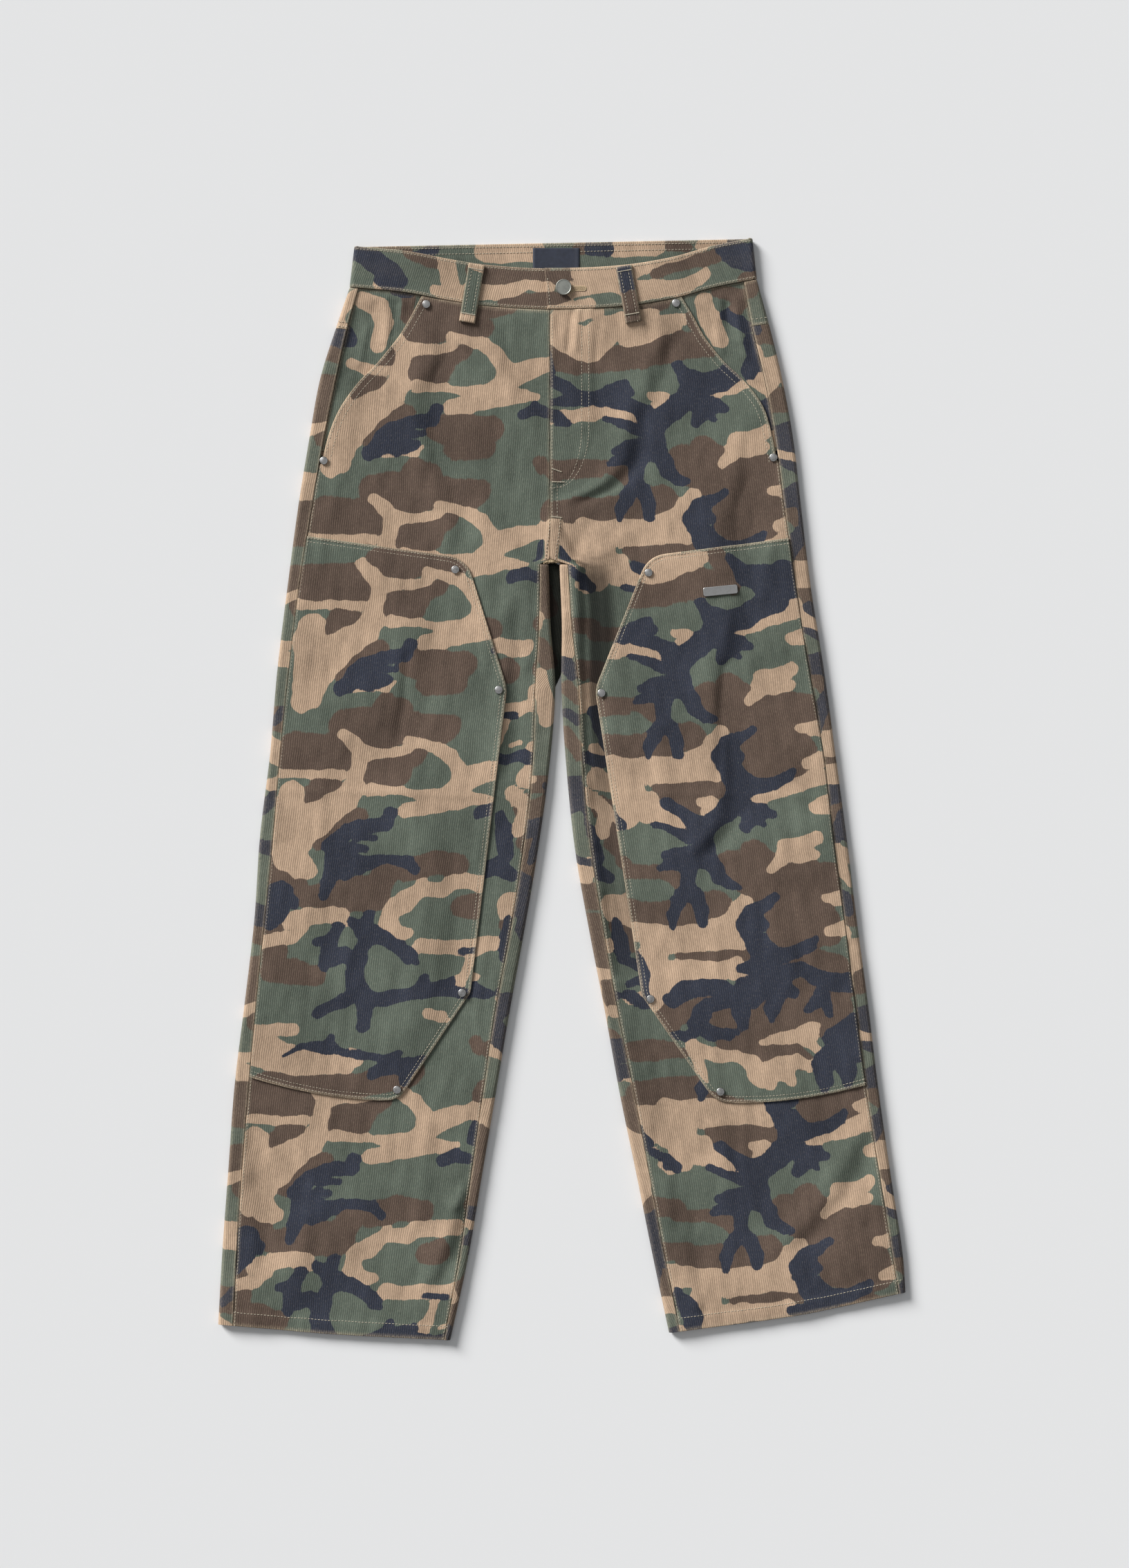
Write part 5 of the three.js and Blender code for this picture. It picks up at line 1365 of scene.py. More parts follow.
# Radius and height round each turned piece, from its foot to its middle.
RIVET_PROFILE = (
    (3.7, 0.0), (3.95, 0.12), (4.0, 0.45), (3.92, 0.75), (3.7, 0.98), (3.4, 1.1), (3.1, 1.1), (2.9, 1.06),
    (2.7, 1.14), (2.3, 1.24), (1.5, 1.33), (0.8, 1.38), (0.05, 1.4))
BUTTON_PROFILE = (
    (3.0, 0.0), (3.2, 0.15), (3.2, 1.15), (7.0, 1.2), (7.4, 1.45), (7.7, 1.85), (7.8, 2.3), (7.78, 2.9),
    (7.65, 3.35), (7.45, 3.6), (7.2, 3.68), (6.95, 3.6), (6.8, 3.42), (6.6, 3.4), (4.5, 3.5), (2.0, 3.56),
    (0.05, 3.58))


def fly_button():
    """A shank button: a fine raised rim round a plain, barely domed face."""
    piece = turned("fly_button_metal", BUTTON_PROFILE, BUTTON_SIDES, bpy.data.materials["antiqued_pewter"])
    low, high = low_high("fly_button")
    centre = (low + high) / 2
    piece.data.transform(Matrix.Translation(Vector((centre[0], centre[1], low[2])) * MM))
    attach(piece, "root")
    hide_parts("fly_button")


def rivets():
    """Every rivet cap, one turned cap set at each place by a node tree."""
    around = np.append(np.linspace(0, 2 * np.pi, RIVET_FEELERS, endpoint=False), 0.0)
    reach = np.append(np.full(RIVET_FEELERS, RIVET_REACH), 0.0)
    nodes, seats = [], []
    for leg in LEGS:
        for place, count, surface in (("pocket", 2, front_surface), ("knee", 4, knee_surface)):
            for k in range(1, count + 1):
                nodes.append(f"rivet_{place}_{leg.name}_{k}")
                low, high = low_high(nodes[-1])
                x, y = (low[0] + high[0]) / 2, (low[1] + high[1]) / 2
                under = surface(leg, x + reach * np.cos(around), y + reach * np.sin(around)).max()
                seats.append((x, y, max(low[2], under + CAP_CLEAR)))
    cap = turned("rivet_cap", RIVET_PROFILE, RIVET_SIDES, bpy.data.materials["nickel_plate"])
    mesh = bpy.data.meshes.new("rivet_caps")
    mesh.from_pydata((np.array(seats) * MM).tolist(), [], [])
    holder = bpy.data.objects.new("rivet_caps", mesh)
    bpy.context.scene.collection.objects.link(holder)
    piece = grow(holder, rivet_tree(), {"Cap": cap, "Metal": bpy.data.materials["nickel_plate"]})
    bpy.data.objects.remove(cap)
    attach(piece, "root")
    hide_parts(*nodes)


# How far in from its outline and how high the plate's face lies, from the cloth up.
PLATE_PROFILE = ((0.0, 0.0), (0.0, 0.95), (0.1, 1.18), (0.32, 1.34), (0.6, 1.4), (1.1, 1.36), (2.6, 1.34))


def leg_plate():
    """The bare metal plate on the left knee, with eased edges and a faint dished field."""
    low, high = low_high("leg_plate")
    centre = (low + high) / 2
    angle = np.linspace(0, 2 * np.pi, PLATE_POINTS, endpoint=False)
    sine, cosine = np.sin(PLATE_TURN), np.cos(PLATE_TURN)
    turn = np.array(((cosine, -sine), (sine, cosine)))
    rings = []
    for inset, height in PLATE_PROFILE:
        corner = max(PLATE_CORNER - inset, 0.3)
        reach = np.array(PLATE_SIZE)[:, None] / 2 - inset - corner
        way = np.stack((np.cos(angle), np.sin(angle)))
        flat = np.sign(np.round(way, 6)) * reach + corner * way
        x, y = turn @ flat
        rings.append(np.stack((x + centre[0], y + centre[1], low[2] + height + 0 * x), 1))
    count = len(angle)
    around = np.arange(count)
    after = np.roll(around, -1)
    band = np.stack((around, after, count + after, count + around), 1)
    sides = np.concatenate([k * count + band for k in range(len(rings) - 1)])
    top = (len(rings) - 1) * count
    mesh = bpy.data.meshes.new("leg_plate_metal")
    caps = [tuple(range(count))[::-1], tuple(range(top, top + count))]
    mesh.from_pydata((np.concatenate(rings) * MM).tolist(), [], sides.tolist() + caps)
    mesh.update()
    piece = add_object(mesh, bpy.data.materials["satin_nickel"])
    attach(piece, "root")
    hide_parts("leg_plate")


# ---- node trees for what repeats ---------------------------------------------------------------
def add(tree, kind, inputs=(), **settings):
    """Adds a node to a tree, sets its properties, and fills its sockets with values or links.

    A bare kind is a shader node's. A node given as a value stands for its first output in use.
    """
    node = tree.nodes.new(kind if "Node" in kind else f"ShaderNode{kind}")
    for name, value in settings.items():
        setattr(node, name, value)
    for socket, value in dict(inputs).items():
        if isinstance(value, bpy.types.Node):
            value = next(output for output in value.outputs if output.enabled)
        if isinstance(value, bpy.types.NodeSocket):
            tree.links.new(value, node.inputs[socket])
        else:
            node.inputs[socket].default_value = value
    return node


def new_tree(name, **inputs):
    """An empty geometry tree with a geometry in and out and the named inputs."""
    tree = bpy.data.node_groups.new(name, "GeometryNodeTree")
    tree.is_modifier = True
    tree.interface.new_socket("Geometry", in_out="INPUT", socket_type="NodeSocketGeometry")
    for title, (kind, default) in inputs.items():
        socket = tree.interface.new_socket(title, in_out="INPUT", socket_type=kind)
        if default is not None:
            socket.default_value = default
    tree.interface.new_socket("Geometry", in_out="OUTPUT", socket_type="NodeSocketGeometry")
    return tree


def rivet_tree():
    """Sets one cap on every point."""
    tree = new_tree("Rivet caps", Cap=("NodeSocketObject", None), Metal=("NodeSocketMaterial", None))
    given = add(tree, "NodeGroupInput")
    cap = add(tree, "GeometryNodeObjectInfo", {"Object": given.outputs["Cap"]}, transform_space="ORIGINAL")
    spin = add(tree, "FunctionNodeRandomValue", {"Seed": 7, 1: (0, 0, 6.28)}, data_type="FLOAT_VECTOR")
    set_on = add(tree, "GeometryNodeInstanceOnPoints", {
        "Points": given.outputs["Geometry"], "Instance": cap.outputs["Geometry"],
        "Rotation": spin.outputs[0]})
    real = add(tree, "GeometryNodeRealizeInstances", {"Geometry": set_on})
    metal = add(tree, "GeometryNodeSetMaterial", {"Geometry": real, "Material": given.outputs["Metal"]})
    add(tree, "NodeGroupOutput", {"Geometry": metal})
    return tree


def stitch_tree():
    """Runs stitches of thread along every line of a mesh of lines, in millimetre sizes."""
    tree = new_tree(
        "Thread stitches", Pitch=("NodeSocketFloat", 3.4), Length=("NodeSocketFloat", 2.7),
        Thickness=("NodeSocketFloat", 0.6), Thread=("NodeSocketMaterial", None))
    given = add(tree, "NodeGroupInput")
    scaled = {
        name: add(tree, "ShaderNodeMath", {0: given.outputs[name], 1: MM}, operation="MULTIPLY")
        for name in ("Pitch", "Length", "Thickness")}
    lines = add(tree, "GeometryNodeMeshToCurve", {"Mesh": given.outputs["Geometry"]})
    points = add(tree, "GeometryNodeCurveToPoints", {
        "Curve": lines, "Length": scaled["Pitch"]}, mode="LENGTH")
    bead = add(tree, "GeometryNodeMeshUVSphere", {"Segments": 6, "Rings": 4, "Radius": 0.5})
    size = add(tree, "ShaderNodeCombineXYZ", {
        0: scaled["Thickness"], 1: scaled["Thickness"], 2: scaled["Length"]})
    vary = add(tree, "FunctionNodeRandomValue", {"Seed": 3, 2: 0.88, 3: 1.08}, data_type="FLOAT")
    scale = add(tree, "ShaderNodeVectorMath", {0: size, 3: vary.outputs[1]}, operation="SCALE")
    sew = add(tree, "GeometryNodeInstanceOnPoints", {
        "Points": points.outputs["Points"], "Instance": bead.outputs["Mesh"],
        "Rotation": points.outputs["Rotation"], "Scale": scale.outputs[0]})
    real = add(tree, "GeometryNodeRealizeInstances", {"Geometry": sew})
    smooth = add(tree, "GeometryNodeSetShadeSmooth", {"Geometry": real})
    thread = add(tree, "GeometryNodeSetMaterial", {"Geometry": smooth, "Material": given.outputs["Thread"]})
    add(tree, "NodeGroupOutput", {"Geometry": thread})
    return tree


def grow(holder, tree, values):
    """Runs a tree on an object and leaves its result as the object's plain mesh."""
    modifier = holder.modifiers.new(tree.name, "NODES")
    modifier.node_group = tree
    for socket in tree.interface.items_tree:
        if socket.in_out == "INPUT" and socket.name in values:
            modifier[socket.identifier] = values[socket.name]
    evaluated = holder.evaluated_get(bpy.context.evaluated_depsgraph_get())
    mesh = bpy.data.meshes.new_from_object(evaluated)
    holder.modifiers.remove(modifier)
    mesh.name = holder.name
    holder.data = mesh
    mesh.shade_smooth()
    return holder


def offset_line(line, distance):
    """A line moved sideways, to the left of its own direction."""
    slope = np.gradient(line, axis=0)
    slope /= np.linalg.norm(slope, axis=1)[:, None]
    return line + distance * np.stack((-slope[:, 1], slope[:, 0]), 1)


def on_surface(line, surface, above=-0.08):
    """A line of places laid on a surface, in millimetres."""
    line = resample(line, LINE_STEP)
    return np.column_stack((line, surface(line[:, 0], line[:, 1]) + above))


def upright(line_x, start, end, step=2.0):
    """A line given as x for each y, from one height to another."""
    y = np.linspace(start, end, max(2, int(abs(end - start) / step)))
    return np.column_stack((line_x(y), y))


def sew(name, lines, pitch, length, thickness, thread):
    points, edges = [], []
    for line in lines:
        first = len(points)
        points.extend(line)
        edges.extend((first + k, first + k + 1) for k in range(len(line) - 1))
    mesh = bpy.data.meshes.new(name)
    mesh.from_pydata((np.array(points) * MM).tolist(), edges, [])
    holder = bpy.data.objects.new(name, mesh)
    bpy.context.scene.collection.objects.link(holder)
    tree = bpy.data.node_groups.get("Thread stitches") or stitch_tree()
    piece = grow(holder, tree, {
        "Pitch": pitch, "Length": length, "Thickness": thickness, "Thread": bpy.data.materials[thread]})
    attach(piece, "root")
    return piece


# ---- sewing ------------------------------------------------------------------------------------
ROW_INSETS = (2.2, 7.6)  # two rows along a pocket mouth, in from its edge
KNEE_INSETS = (2.2, 5.6)  # and round a double knee
SIDE_INSET = 1.7  # one row along the side seam and the inseam
TACK_HALF = 6.5  # half the width of a belt loop's bar tack
TACK_RISE = 0.15  # tacks stand this far out of the cloth
BAND_RISE = 0.12  # and the rows along the band
FLY_TACKS = (((-9, 314), (0, 311)), ((-9, 301), (3, 301)), ((-10, 267), (0, 266)))
FLY_ROWS = (20.0, 27.0)  # x of the two rows down the fly
FLY_BEND = (352, 299)  # where they start to bend, and where they reach the seam
CENTRE_ROWS = ((2.0, 466), (7.0, 300))  # rows beside the centre seam: how far in, and from what height
CENTRE_ROWS_END = 268
BAND_STRETCHES = ((-204.0, -15.0), (-10.5, 189.0))  # each end of the band has rows of its own
BAND_INSET = 2.6
BACK_INSETS = (3.2, 9.0)  # rows on the inside of the band's back, down from its top
YOKE_INSETS = (2.2, 6.8)
BUTTONHOLE = (6.0, 22.0)  # its ends, across from the button's middle
BUTTONHOLE_ROWS = (0.35, 1.0, 1.45)  # shares of the slot's half width
LINE_STEP = 1.5  # between the points of a line of stitches


def leg_lines(leg):
    """The rows of stitches on one leg's panels."""
    s = leg.sign
    front = partial(front_surface, leg)

    def knee(x, y):
        return knee_surface(leg, x, y) - 0.15

    def down(line_x, start, end, inset, surface):
        """A row beside one of the leg's long lines, in towards its middle where inset is negative."""
        lines.append(on_surface(offset_line(upright(partial(line_x, leg), start, end), s * inset), surface))

    lines = []
    for inset in ROW_INSETS:
        down(mouth_x, waist_y(leg.mouth["x"][0]) - 2, mouth_end(leg) + 1, -inset, front)
    hem_at_side, hem_at_inseam = hem_y(leg, leg.side["seam"][-1]), hem_y(leg, leg.inner["seam"][-1])
    down(side_x, mouth_end(leg) - 3, leg.knee_top + 1, -SIDE_INSET, front)
    down(side_x, leg.knee_top - 2, leg.knee_bottom + 2, -SIDE_INSET, knee)
    down(side_x, leg.knee_bottom - 2, hem_at_side + 1, -SIDE_INSET, front)
    down(inseam_x, CROTCH_Y - 3, hem_at_inseam + 1, SIDE_INSET, front)
    x = np.linspace(inseam_x(leg, -520) + s, side_x(leg, -510) - s, 120)
    hem_row = hem_y(leg, x) + HEM_HEIGHT - 0.6 + 0.5 * wander(x, x, 30, 71)
    lines.append(on_surface(np.column_stack((x, hem_row)), front))
    edge = np.vstack(((side_x(leg, leg.knee_top) - s * 1.5, leg.knee_top), knee_edge(leg)))
    gx, gy = knee_grid(leg)
    bottom = np.column_stack((gx[-1], gy[-1]))[::-1]
    edge = resample(np.vstack((edge, bottom[2:-1])), 2.0)
    for inset in KNEE_INSETS:
        lines.append(on_surface(offset_line(edge, s * inset), knee))
    return lines


def fly_lines():
    """The J of the fly, the centre seam and the crotch strip."""
    front = partial(front_surface, LEFT)
    bend_from, bend_to = FLY_BEND
    angle = np.linspace(0, 1, 30)[1:] * np.pi / 2
    drop = (bend_from + 4 - bend_to) * np.sin(angle) ** 1.15
    lines = []
    for x in FLY_ROWS:
        down = upright(partial(np.full_like, fill_value=x), 458, bend_from)
        bend_x = CENTRE_X + 1 + (x - CENTRE_X - 1) * np.cos(angle) ** 0.8
        lines.append(on_surface(np.vstack((down, np.column_stack((bend_x, bend_from - drop)))), front))
    for inset, top in CENTRE_ROWS:
        seam = upright(partial(np.full_like, fill_value=CENTRE_X + inset), top, CENTRE_ROWS_END)
        lines.append(on_surface(seam, front))
    strip = upright(strip_middle, 264, 226)
    for side in (-1, 1):
        lines.append(on_surface(strip + (side * (STRIP_HALF - 1.9), 0), front, 0.2))
    return lines


def band_lines():
    """Rows along the top and bottom of the waistband, down its end, and behind at the back."""
    lines = []
    for x0, x1 in BAND_STRETCHES:
        x = np.linspace(x0, x1, 150)
        for height in (BAND_INSET, BAND_HEIGHT - BAND_INSET):
            line = np.column_stack((x * (1 - BAND_TAPER * height / BAND_HEIGHT), waist_y(x) + height))
            lines.append(on_surface(line, band_top, BAND_RISE))
    foot = waist_y(-13)
    end = np.array([(BAND_OVER_END_X + 2.4, foot + 3), (BAND_OVER_END_X - 0.6, foot + BAND_HEIGHT - 3)])
    lines.append(on_surface(end, band_top, BAND_RISE))
    x = np.linspace(-196, 186, 160)
    for depth in BACK_INSETS:
        line = np.column_stack((x, back_waist_y(x) + BAND_HEIGHT - depth))
        lines.append(on_surface(line, lambda px, py: BAND_CLOTH + 0 * px, 0.05))
    return lines


def loop_top(x, y):
    """Top of a belt loop along its rows of stitches."""
    return loop_underside(x, y) + LOOP_CLOTH + LIFT_OFF


def loop_lines(leg):
    """Two rows up each belt loop and the rows that tack its ends."""
    (x0, x1), (y0, y1) = leg.loop["x"], leg.loop["y"]
    tilt = (x1 - x0) / (y1 - y0)
    rows, tacks = [], []
    for across in (-4.0, 4.0):
        rows.append(on_surface(np.array([(x0 + across, y0 + 1.5), (x1 + across, y1 - 1.5)]), loop_top, 0.1))
    for v in (8.0, y1 - y0 - 5.0):
        x, y = x0 + v * tilt, y0 + v
        tack = np.array([(x - TACK_HALF, y + TACK_HALF * tilt), (x + TACK_HALF, y - TACK_HALF * tilt)])
        tacks.append(on_surface(tack, loop_top, TACK_RISE))
    return rows, tacks


def yoke_lines(leg):
    """Two short rows where each yoke seam comes round the side."""
    lines = []
    for rise in YOKE_INSETS:
        x = np.linspace(side_x(leg, leg.yoke_y) + leg.sign, outer_x(leg, leg.yoke_y) - leg.sign * 3.6, 8)
        lines.append(np.column_stack((x, yoke_seam_y(leg, x) + rise, FOLD_HEIGHT + 0.1 + 0 * x)))
    return lines


def topstitching():
    """Every row of stitches in the pale thread."""
    look = bpy.context.scene.trouser_sewing
    lines = fly_lines() + band_lines()
    for leg in LEGS:
        lines += leg_lines(leg) + loop_lines(leg)[0] + yoke_lines(leg)
    sew("topstitching", lines, look.pitch, look.length, look.thickness, "topstitch_thread")


def bartacks():
    """Dense tacks: the ends of the belt loops and the fly."""
    tacks = loop_lines(RIGHT)[1] + loop_lines(LEFT)[1]
    for points in FLY_TACKS:
        tacks.append(on_surface(np.array(points, float), partial(front_surface, LEFT), TACK_RISE))
    sew("bartacks", tacks, pitch=0.7, length=0.9, thickness=1.4, thread="topstitch_thread")


def zigzag(start, end, width, pitch, height):
    """A line that swings from side to side between two places, for overlocking."""
    start, end = np.array(start, float), np.array(end, float)
    count = int(np.linalg.norm(end - start) / pitch)
    t = np.linspace(0, 1, count)[:, None]
    way = (end - start) / np.linalg.norm(end - start)
    swing = width / 2 * (-1.0) ** np.arange(count)[:, None] * np.array((-way[1], way[0]))
    line = start + (end - start) * t + swing
    line = line + 0.5 * np.stack((wander(*line.T, 1.7, 81), wander(*line.T, 1.3, 82)), 1)
    return np.column_stack((line, height + 0.25 * wander(*line.T, 2.1, 83)))


def seam_end():
    """The raw, overlocked end of the centre seam, bunched over the top of the slot."""
    ends = [
        zigzag((-17.5, y), (-2.5, y + 1.2), 3.4, 0.55, height)
        for y, height in ((222.6, 7.2), (223.6, 7.9))]
    sew("seam_end", ends, pitch=0.9, length=1.9, thickness=0.8, thread="buttonhole_twist")


def buttonhole():
    """A keyhole buttonhole: close stitches round a slot."""
    low, high = low_high("fly_button")
    middle = (low + high)[:2] / 2
    start, end = middle[0] + np.array(BUTTONHOLE)
    y = middle[1] - 1.0
    outline = []
    for side in (-1, 1):
        x = np.linspace(start, end, 24)
        width = mix(2.3, 1.5, ease(start + 2, start + 6, x)) * np.sqrt(np.clip((end + 0.6 - x) / 2, 0, 1))
        for share in BUTTONHOLE_ROWS:
            outline.append(on_surface(np.column_stack((x, y + side * share * width)), band_top, TACK_RISE))
    sew("buttonhole_edge", outline, pitch=0.75, length=1.6, thickness=1.0, thread="buttonhole_twist")


# ---- finishes ----------------------------------------------------------------------------------
def linear(colour):
    """A #rrggbb sRGB colour as linear red, green, blue and alpha."""
    parts = [int(colour[k:k + 2], 16) / 255 for k in (1, 3, 5)]
    return (*(p / 12.92 if p <= 0.04045 else ((p + 0.055) / 1.055) ** 2.4 for p in parts), 1.0)


def new_material(name):
    """An empty material and its node tree."""
    material = bpy.data.materials.new(name)
    material.use_nodes = True
    material.node_tree.nodes.clear()
    return material.node_tree


def corduroy():
    """Washed cotton corduroy, cut in pinwales and printed: matt, with soft ribs and a short nap.

    The ribs stand 2.1 mm apart. Their pile is brushed up in tufts a few millimetres long, which
    breaks each rib's edge and the print's edge. The grooves between the ribs are drawn darker than
    the crests, partly the pile's own colour and partly painted shade. The wash leaves pale fibres on
    the ribs, uneven tone and long streaks over the panels, and paler seam edges. Next to no light
    gets down to the foot of the slot between the legs or into the hollow beside the left inseam, and
    the cloth there is drawn darker as painted shade.
    """
    look = bpy.context.scene.trouser_cloth
    tree = new_material("printed_pinwale_corduroy")
    flat = add(tree, "UVMap", uv_map="grain")
    grain = add(tree, "VectorMath", {0: flat, "Scale": 1 / MM}, operation="SCALE")
    sides = add(tree, "SeparateXYZ", {0: grain})
    drift = add(tree, "TexNoise", {"Vector": grain, "Scale": 0.03, "Detail": 1.0})
    across = add(tree, "Math", {0: drift, 1: 3.0, 2: sides.outputs[0]}, operation="MULTIPLY_ADD")
    rib = add(tree, "Math", {0: across, 1: look.wale_pitch}, operation="DIVIDE")
    number = add(tree, "Math", {0: rib}, operation="FLOOR")
    slope = add(tree, "Math", {0: rib, 1: 0.5}, operation="PINGPONG")
    crest = add(tree, "MapRange", {0: slope, 1: 0.0, 2: 0.36}, interpolation_type="SMOOTHSTEP")
    row = add(tree, "Math", {0: number, 1: 3.7}, operation="MULTIPLY")
    tuft_run = add(tree, "Math", {0: sides.outputs[1], 1: 6.0}, operation="DIVIDE")
    tuft_place = add(tree, "CombineXYZ", {0: row, 1: tuft_run})
    tuft = add(tree, "TexNoise", {"Vector": tuft_place, "Scale": 1.0, "Detail": 2.0})
    fleck_side = add(tree, "Math", {0: across, 1: 1.7}, operation="MULTIPLY")
    fleck_run = add(tree, "Math", {0: sides.outputs[1], 1: 2.4}, operation="DIVIDE")
    fleck_place = add(tree, "CombineXYZ", {0: fleck_side, 1: fleck_run})
    fleck = add(tree, "TexNoise", {"Vector": fleck_place, "Scale": 1.0, "Detail": 3.0})
    colour = linear(look.green)
    for name, softness, raggedness, ink in (
            ("brown", 1.1, 3.2, look.brown), ("tan", 0.45, 2.0, look.tan), ("navy", 0.45, 2.0, look.navy)):
        depth = add(tree, "Attribute", attribute_name=name)
        edge = add(tree, "Math", {0: tuft, 1: raggedness, 2: depth.outputs["Fac"]}, operation="MULTIPLY_ADD")
        middle = raggedness / 2
        cover = add(tree, "MapRange", {
            0: edge, 1: middle + softness, 2: middle - softness}, interpolation_type="SMOOTHSTEP")
        colour = add(tree, "Mix", {0: cover, 6: colour, 7: linear(ink)}, data_type="RGBA")
    place = add(tree, "TexCoord")
    wash = add(tree, "TexNoise", {"Vector": place.outputs["Object"], "Scale": 14.0, "Detail": 4.0})
    long_way = add(tree, "VectorMath", {0: grain, 1: (0.09, 0.014, 1.0)}, operation="MULTIPLY")
    streak = add(tree, "TexNoise", {"Vector": long_way, "Scale": 1.0, "Detail": 3.0})
    marks = add(tree, "CombineXYZ", {0: tuft, 1: fleck, 2: wash})
    uneven = add(tree, "VectorMath", {0: marks, 1: (0.42, 0.56, 0.80)}, operation="DOT_PRODUCT")
    streaked = add(tree, "Math", {0: streak, 1: 0.55, 2: uneven}, operation="MULTIPLY_ADD")
    # The grooves between the ribs are drawn darker than the crests: partly the pile's own colour, partly
    # painted shade in the grooves.
    tone = add(tree, "Math", {0: crest, 1: 0.2, 2: streaked}, operation="MULTIPLY_ADD")
    tone = add(tree, "Math", {0: tone, 1: -0.34}, operation="ADD")
    # Painted shade: cloth in the slot between the legs and in the hollow beside the left inseam is drawn
    # down to 0.12 of its colour.
    deep = add(tree, "Attribute", attribute_name="deep")
    lit = add(tree, "MapRange", {0: deep.outputs["Fac"], 3: 1.0, 4: 0.12})
    tone = add(tree, "Math", {0: tone, 1: lit}, operation="MULTIPLY")
    frost = add(tree, "MapRange", {0: fleck, 1: 0.5, 2: 0.78, 3: 0.0, 4: look.frost})
    frosted = add(tree, "Math", {0: frost, 1: crest}, operation="MULTIPLY")
    worn = add(tree, "Attribute", attribute_name="worn")
    broken = add(tree, "MapRange", {0: fleck, 1: 0.3, 2: 0.65, 3: 0.15, 4: look.wear})
    rubbed = add(tree, "Math", {
        0: worn.outputs["Fac"], 1: broken, 2: frosted}, operation="MULTIPLY_ADD", use_clamp=True)
    faded = add(tree, "Mix", {0: rubbed, 6: colour, 7: linear(look.worn_edge)}, data_type="RGBA")
    shaded = add(tree, "VectorMath", {0: faded, "Scale": tone}, operation="SCALE")
    fibres = add(tree, "CombineXYZ", {0: crest, 1: tuft, 2: fleck})
    pile = add(tree, "VectorMath", {0: fibres, 1: (0.42, 0.24, 0.2)}, operation="DOT_PRODUCT")
    bump = add(tree, "Bump", {"Strength": 0.42, "Distance": 1.0 * MM, "Height": pile})
    surface = add(tree, "BsdfPrincipled", {
        "Base Color": shaded, "Roughness": 0.92, "Specular IOR Level": 0.2, "Sheen Weight": 0.10,
        "Sheen Roughness": 0.45, "Normal": bump})
    add(tree, "OutputMaterial", {"Surface": surface})


def spun_thread(name, colour):
    """Twisted polyester-core sewing thread: satiny, with its ply showing as fine slanted lines."""
    tree = new_material(name)
    dark = tuple(0.6 * part for part in linear(colour)[:3]) + (1.0,)
    place = add(tree, "TexCoord")
    ply = add(tree, "TexWave", {
        "Vector": place.outputs["Object"], "Scale": 900.0, "Distortion": 1.5}, bands_direction="DIAGONAL")
    tone = add(tree, "TexNoise", {"Vector": place.outputs["Object"], "Scale": 40.0})
    shade = add(tree, "Math", {0: ply.outputs["Fac"], 1: tone}, operation="MULTIPLY")
    twisted = add(tree, "Mix", {0: shade, 6: linear(colour), 7: dark}, data_type="RGBA")
    bump = add(tree, "Bump", {"Strength": 0.4, "Distance": 0.1 * MM, "Height": ply.outputs["Fac"]})
    surface = add(tree, "BsdfPrincipled", {
        "Base Color": twisted, "Roughness": 0.6, "Sheen Weight": 0.15, "Normal": bump})
    add(tree, "OutputMaterial", {"Surface": surface})


def label_weave(colour, highlight):
    """Damask-woven polyester label: a close satin ground, its picks 0.4 mm and ends 0.55 mm apart."""
    tree = new_material("damask_label")
    place = add(tree, "TexCoord")
    close = add(tree, "VectorMath", {
        0: place.outputs["Object"], 1: (1 / (0.55 * MM), 1 / (0.4 * MM), 0.0)}, operation="MULTIPLY")
    weave = add(tree, "TexChecker", {"Vector": close, "Scale": 1.0})
    slub = add(tree, "TexNoise", {"Vector": place.outputs["Object"], "Scale": 260.0, "Detail": 2.0})
    tone = add(tree, "Math", {0: weave.outputs["Fac"], 1: 0.2, 2: slub}, operation="MULTIPLY_ADD")
    shade = add(tree, "Mix", {0: tone, 6: linear(colour), 7: linear(highlight)}, data_type="RGBA")
    bump = add(tree, "Bump", {"Strength": 0.4, "Distance": 0.12 * MM, "Height": tone})
    surface = add(tree, "BsdfPrincipled", {
        "Base Color": shade, "Roughness": 0.55, "Sheen Weight": 0.15, "Normal": bump})
    add(tree, "OutputMaterial", {"Surface": surface})


def metal(name, colour, tarnish, roughness, grime):
    """A plated metal: even colour, tarnish in patches, fine scuffs that change its gloss."""
    tree = new_material(name)
    place = add(tree, "TexCoord")
    patch = add(tree, "TexNoise", {"Vector": place.outputs["Object"], "Scale": 420.0, "Detail": 3.0})
    scuff = add(tree, "TexNoise", {"Vector": place.outputs["Object"], "Scale": 2600.0, "Detail": 2.0})
    dirty = add(tree, "MapRange", {0: patch, 1: 0.45, 2: 0.75, 3: 0.0, 4: grime})
    aged = add(tree, "Mix", {0: dirty, 6: linear(colour), 7: linear(tarnish)}, data_type="RGBA")
    gloss = add(tree, "MapRange", {0: scuff, 3: roughness - 0.08, 4: roughness + 0.08})
    bump = add(tree, "Bump", {"Strength": 0.25, "Distance": 0.05 * MM, "Height": scuff})
    surface = add(tree, "BsdfPrincipled", {
        "Base Color": aged, "Metallic": 1.0, "Roughness": gloss, "Normal": bump})
    add(tree, "OutputMaterial", {"Surface": surface})


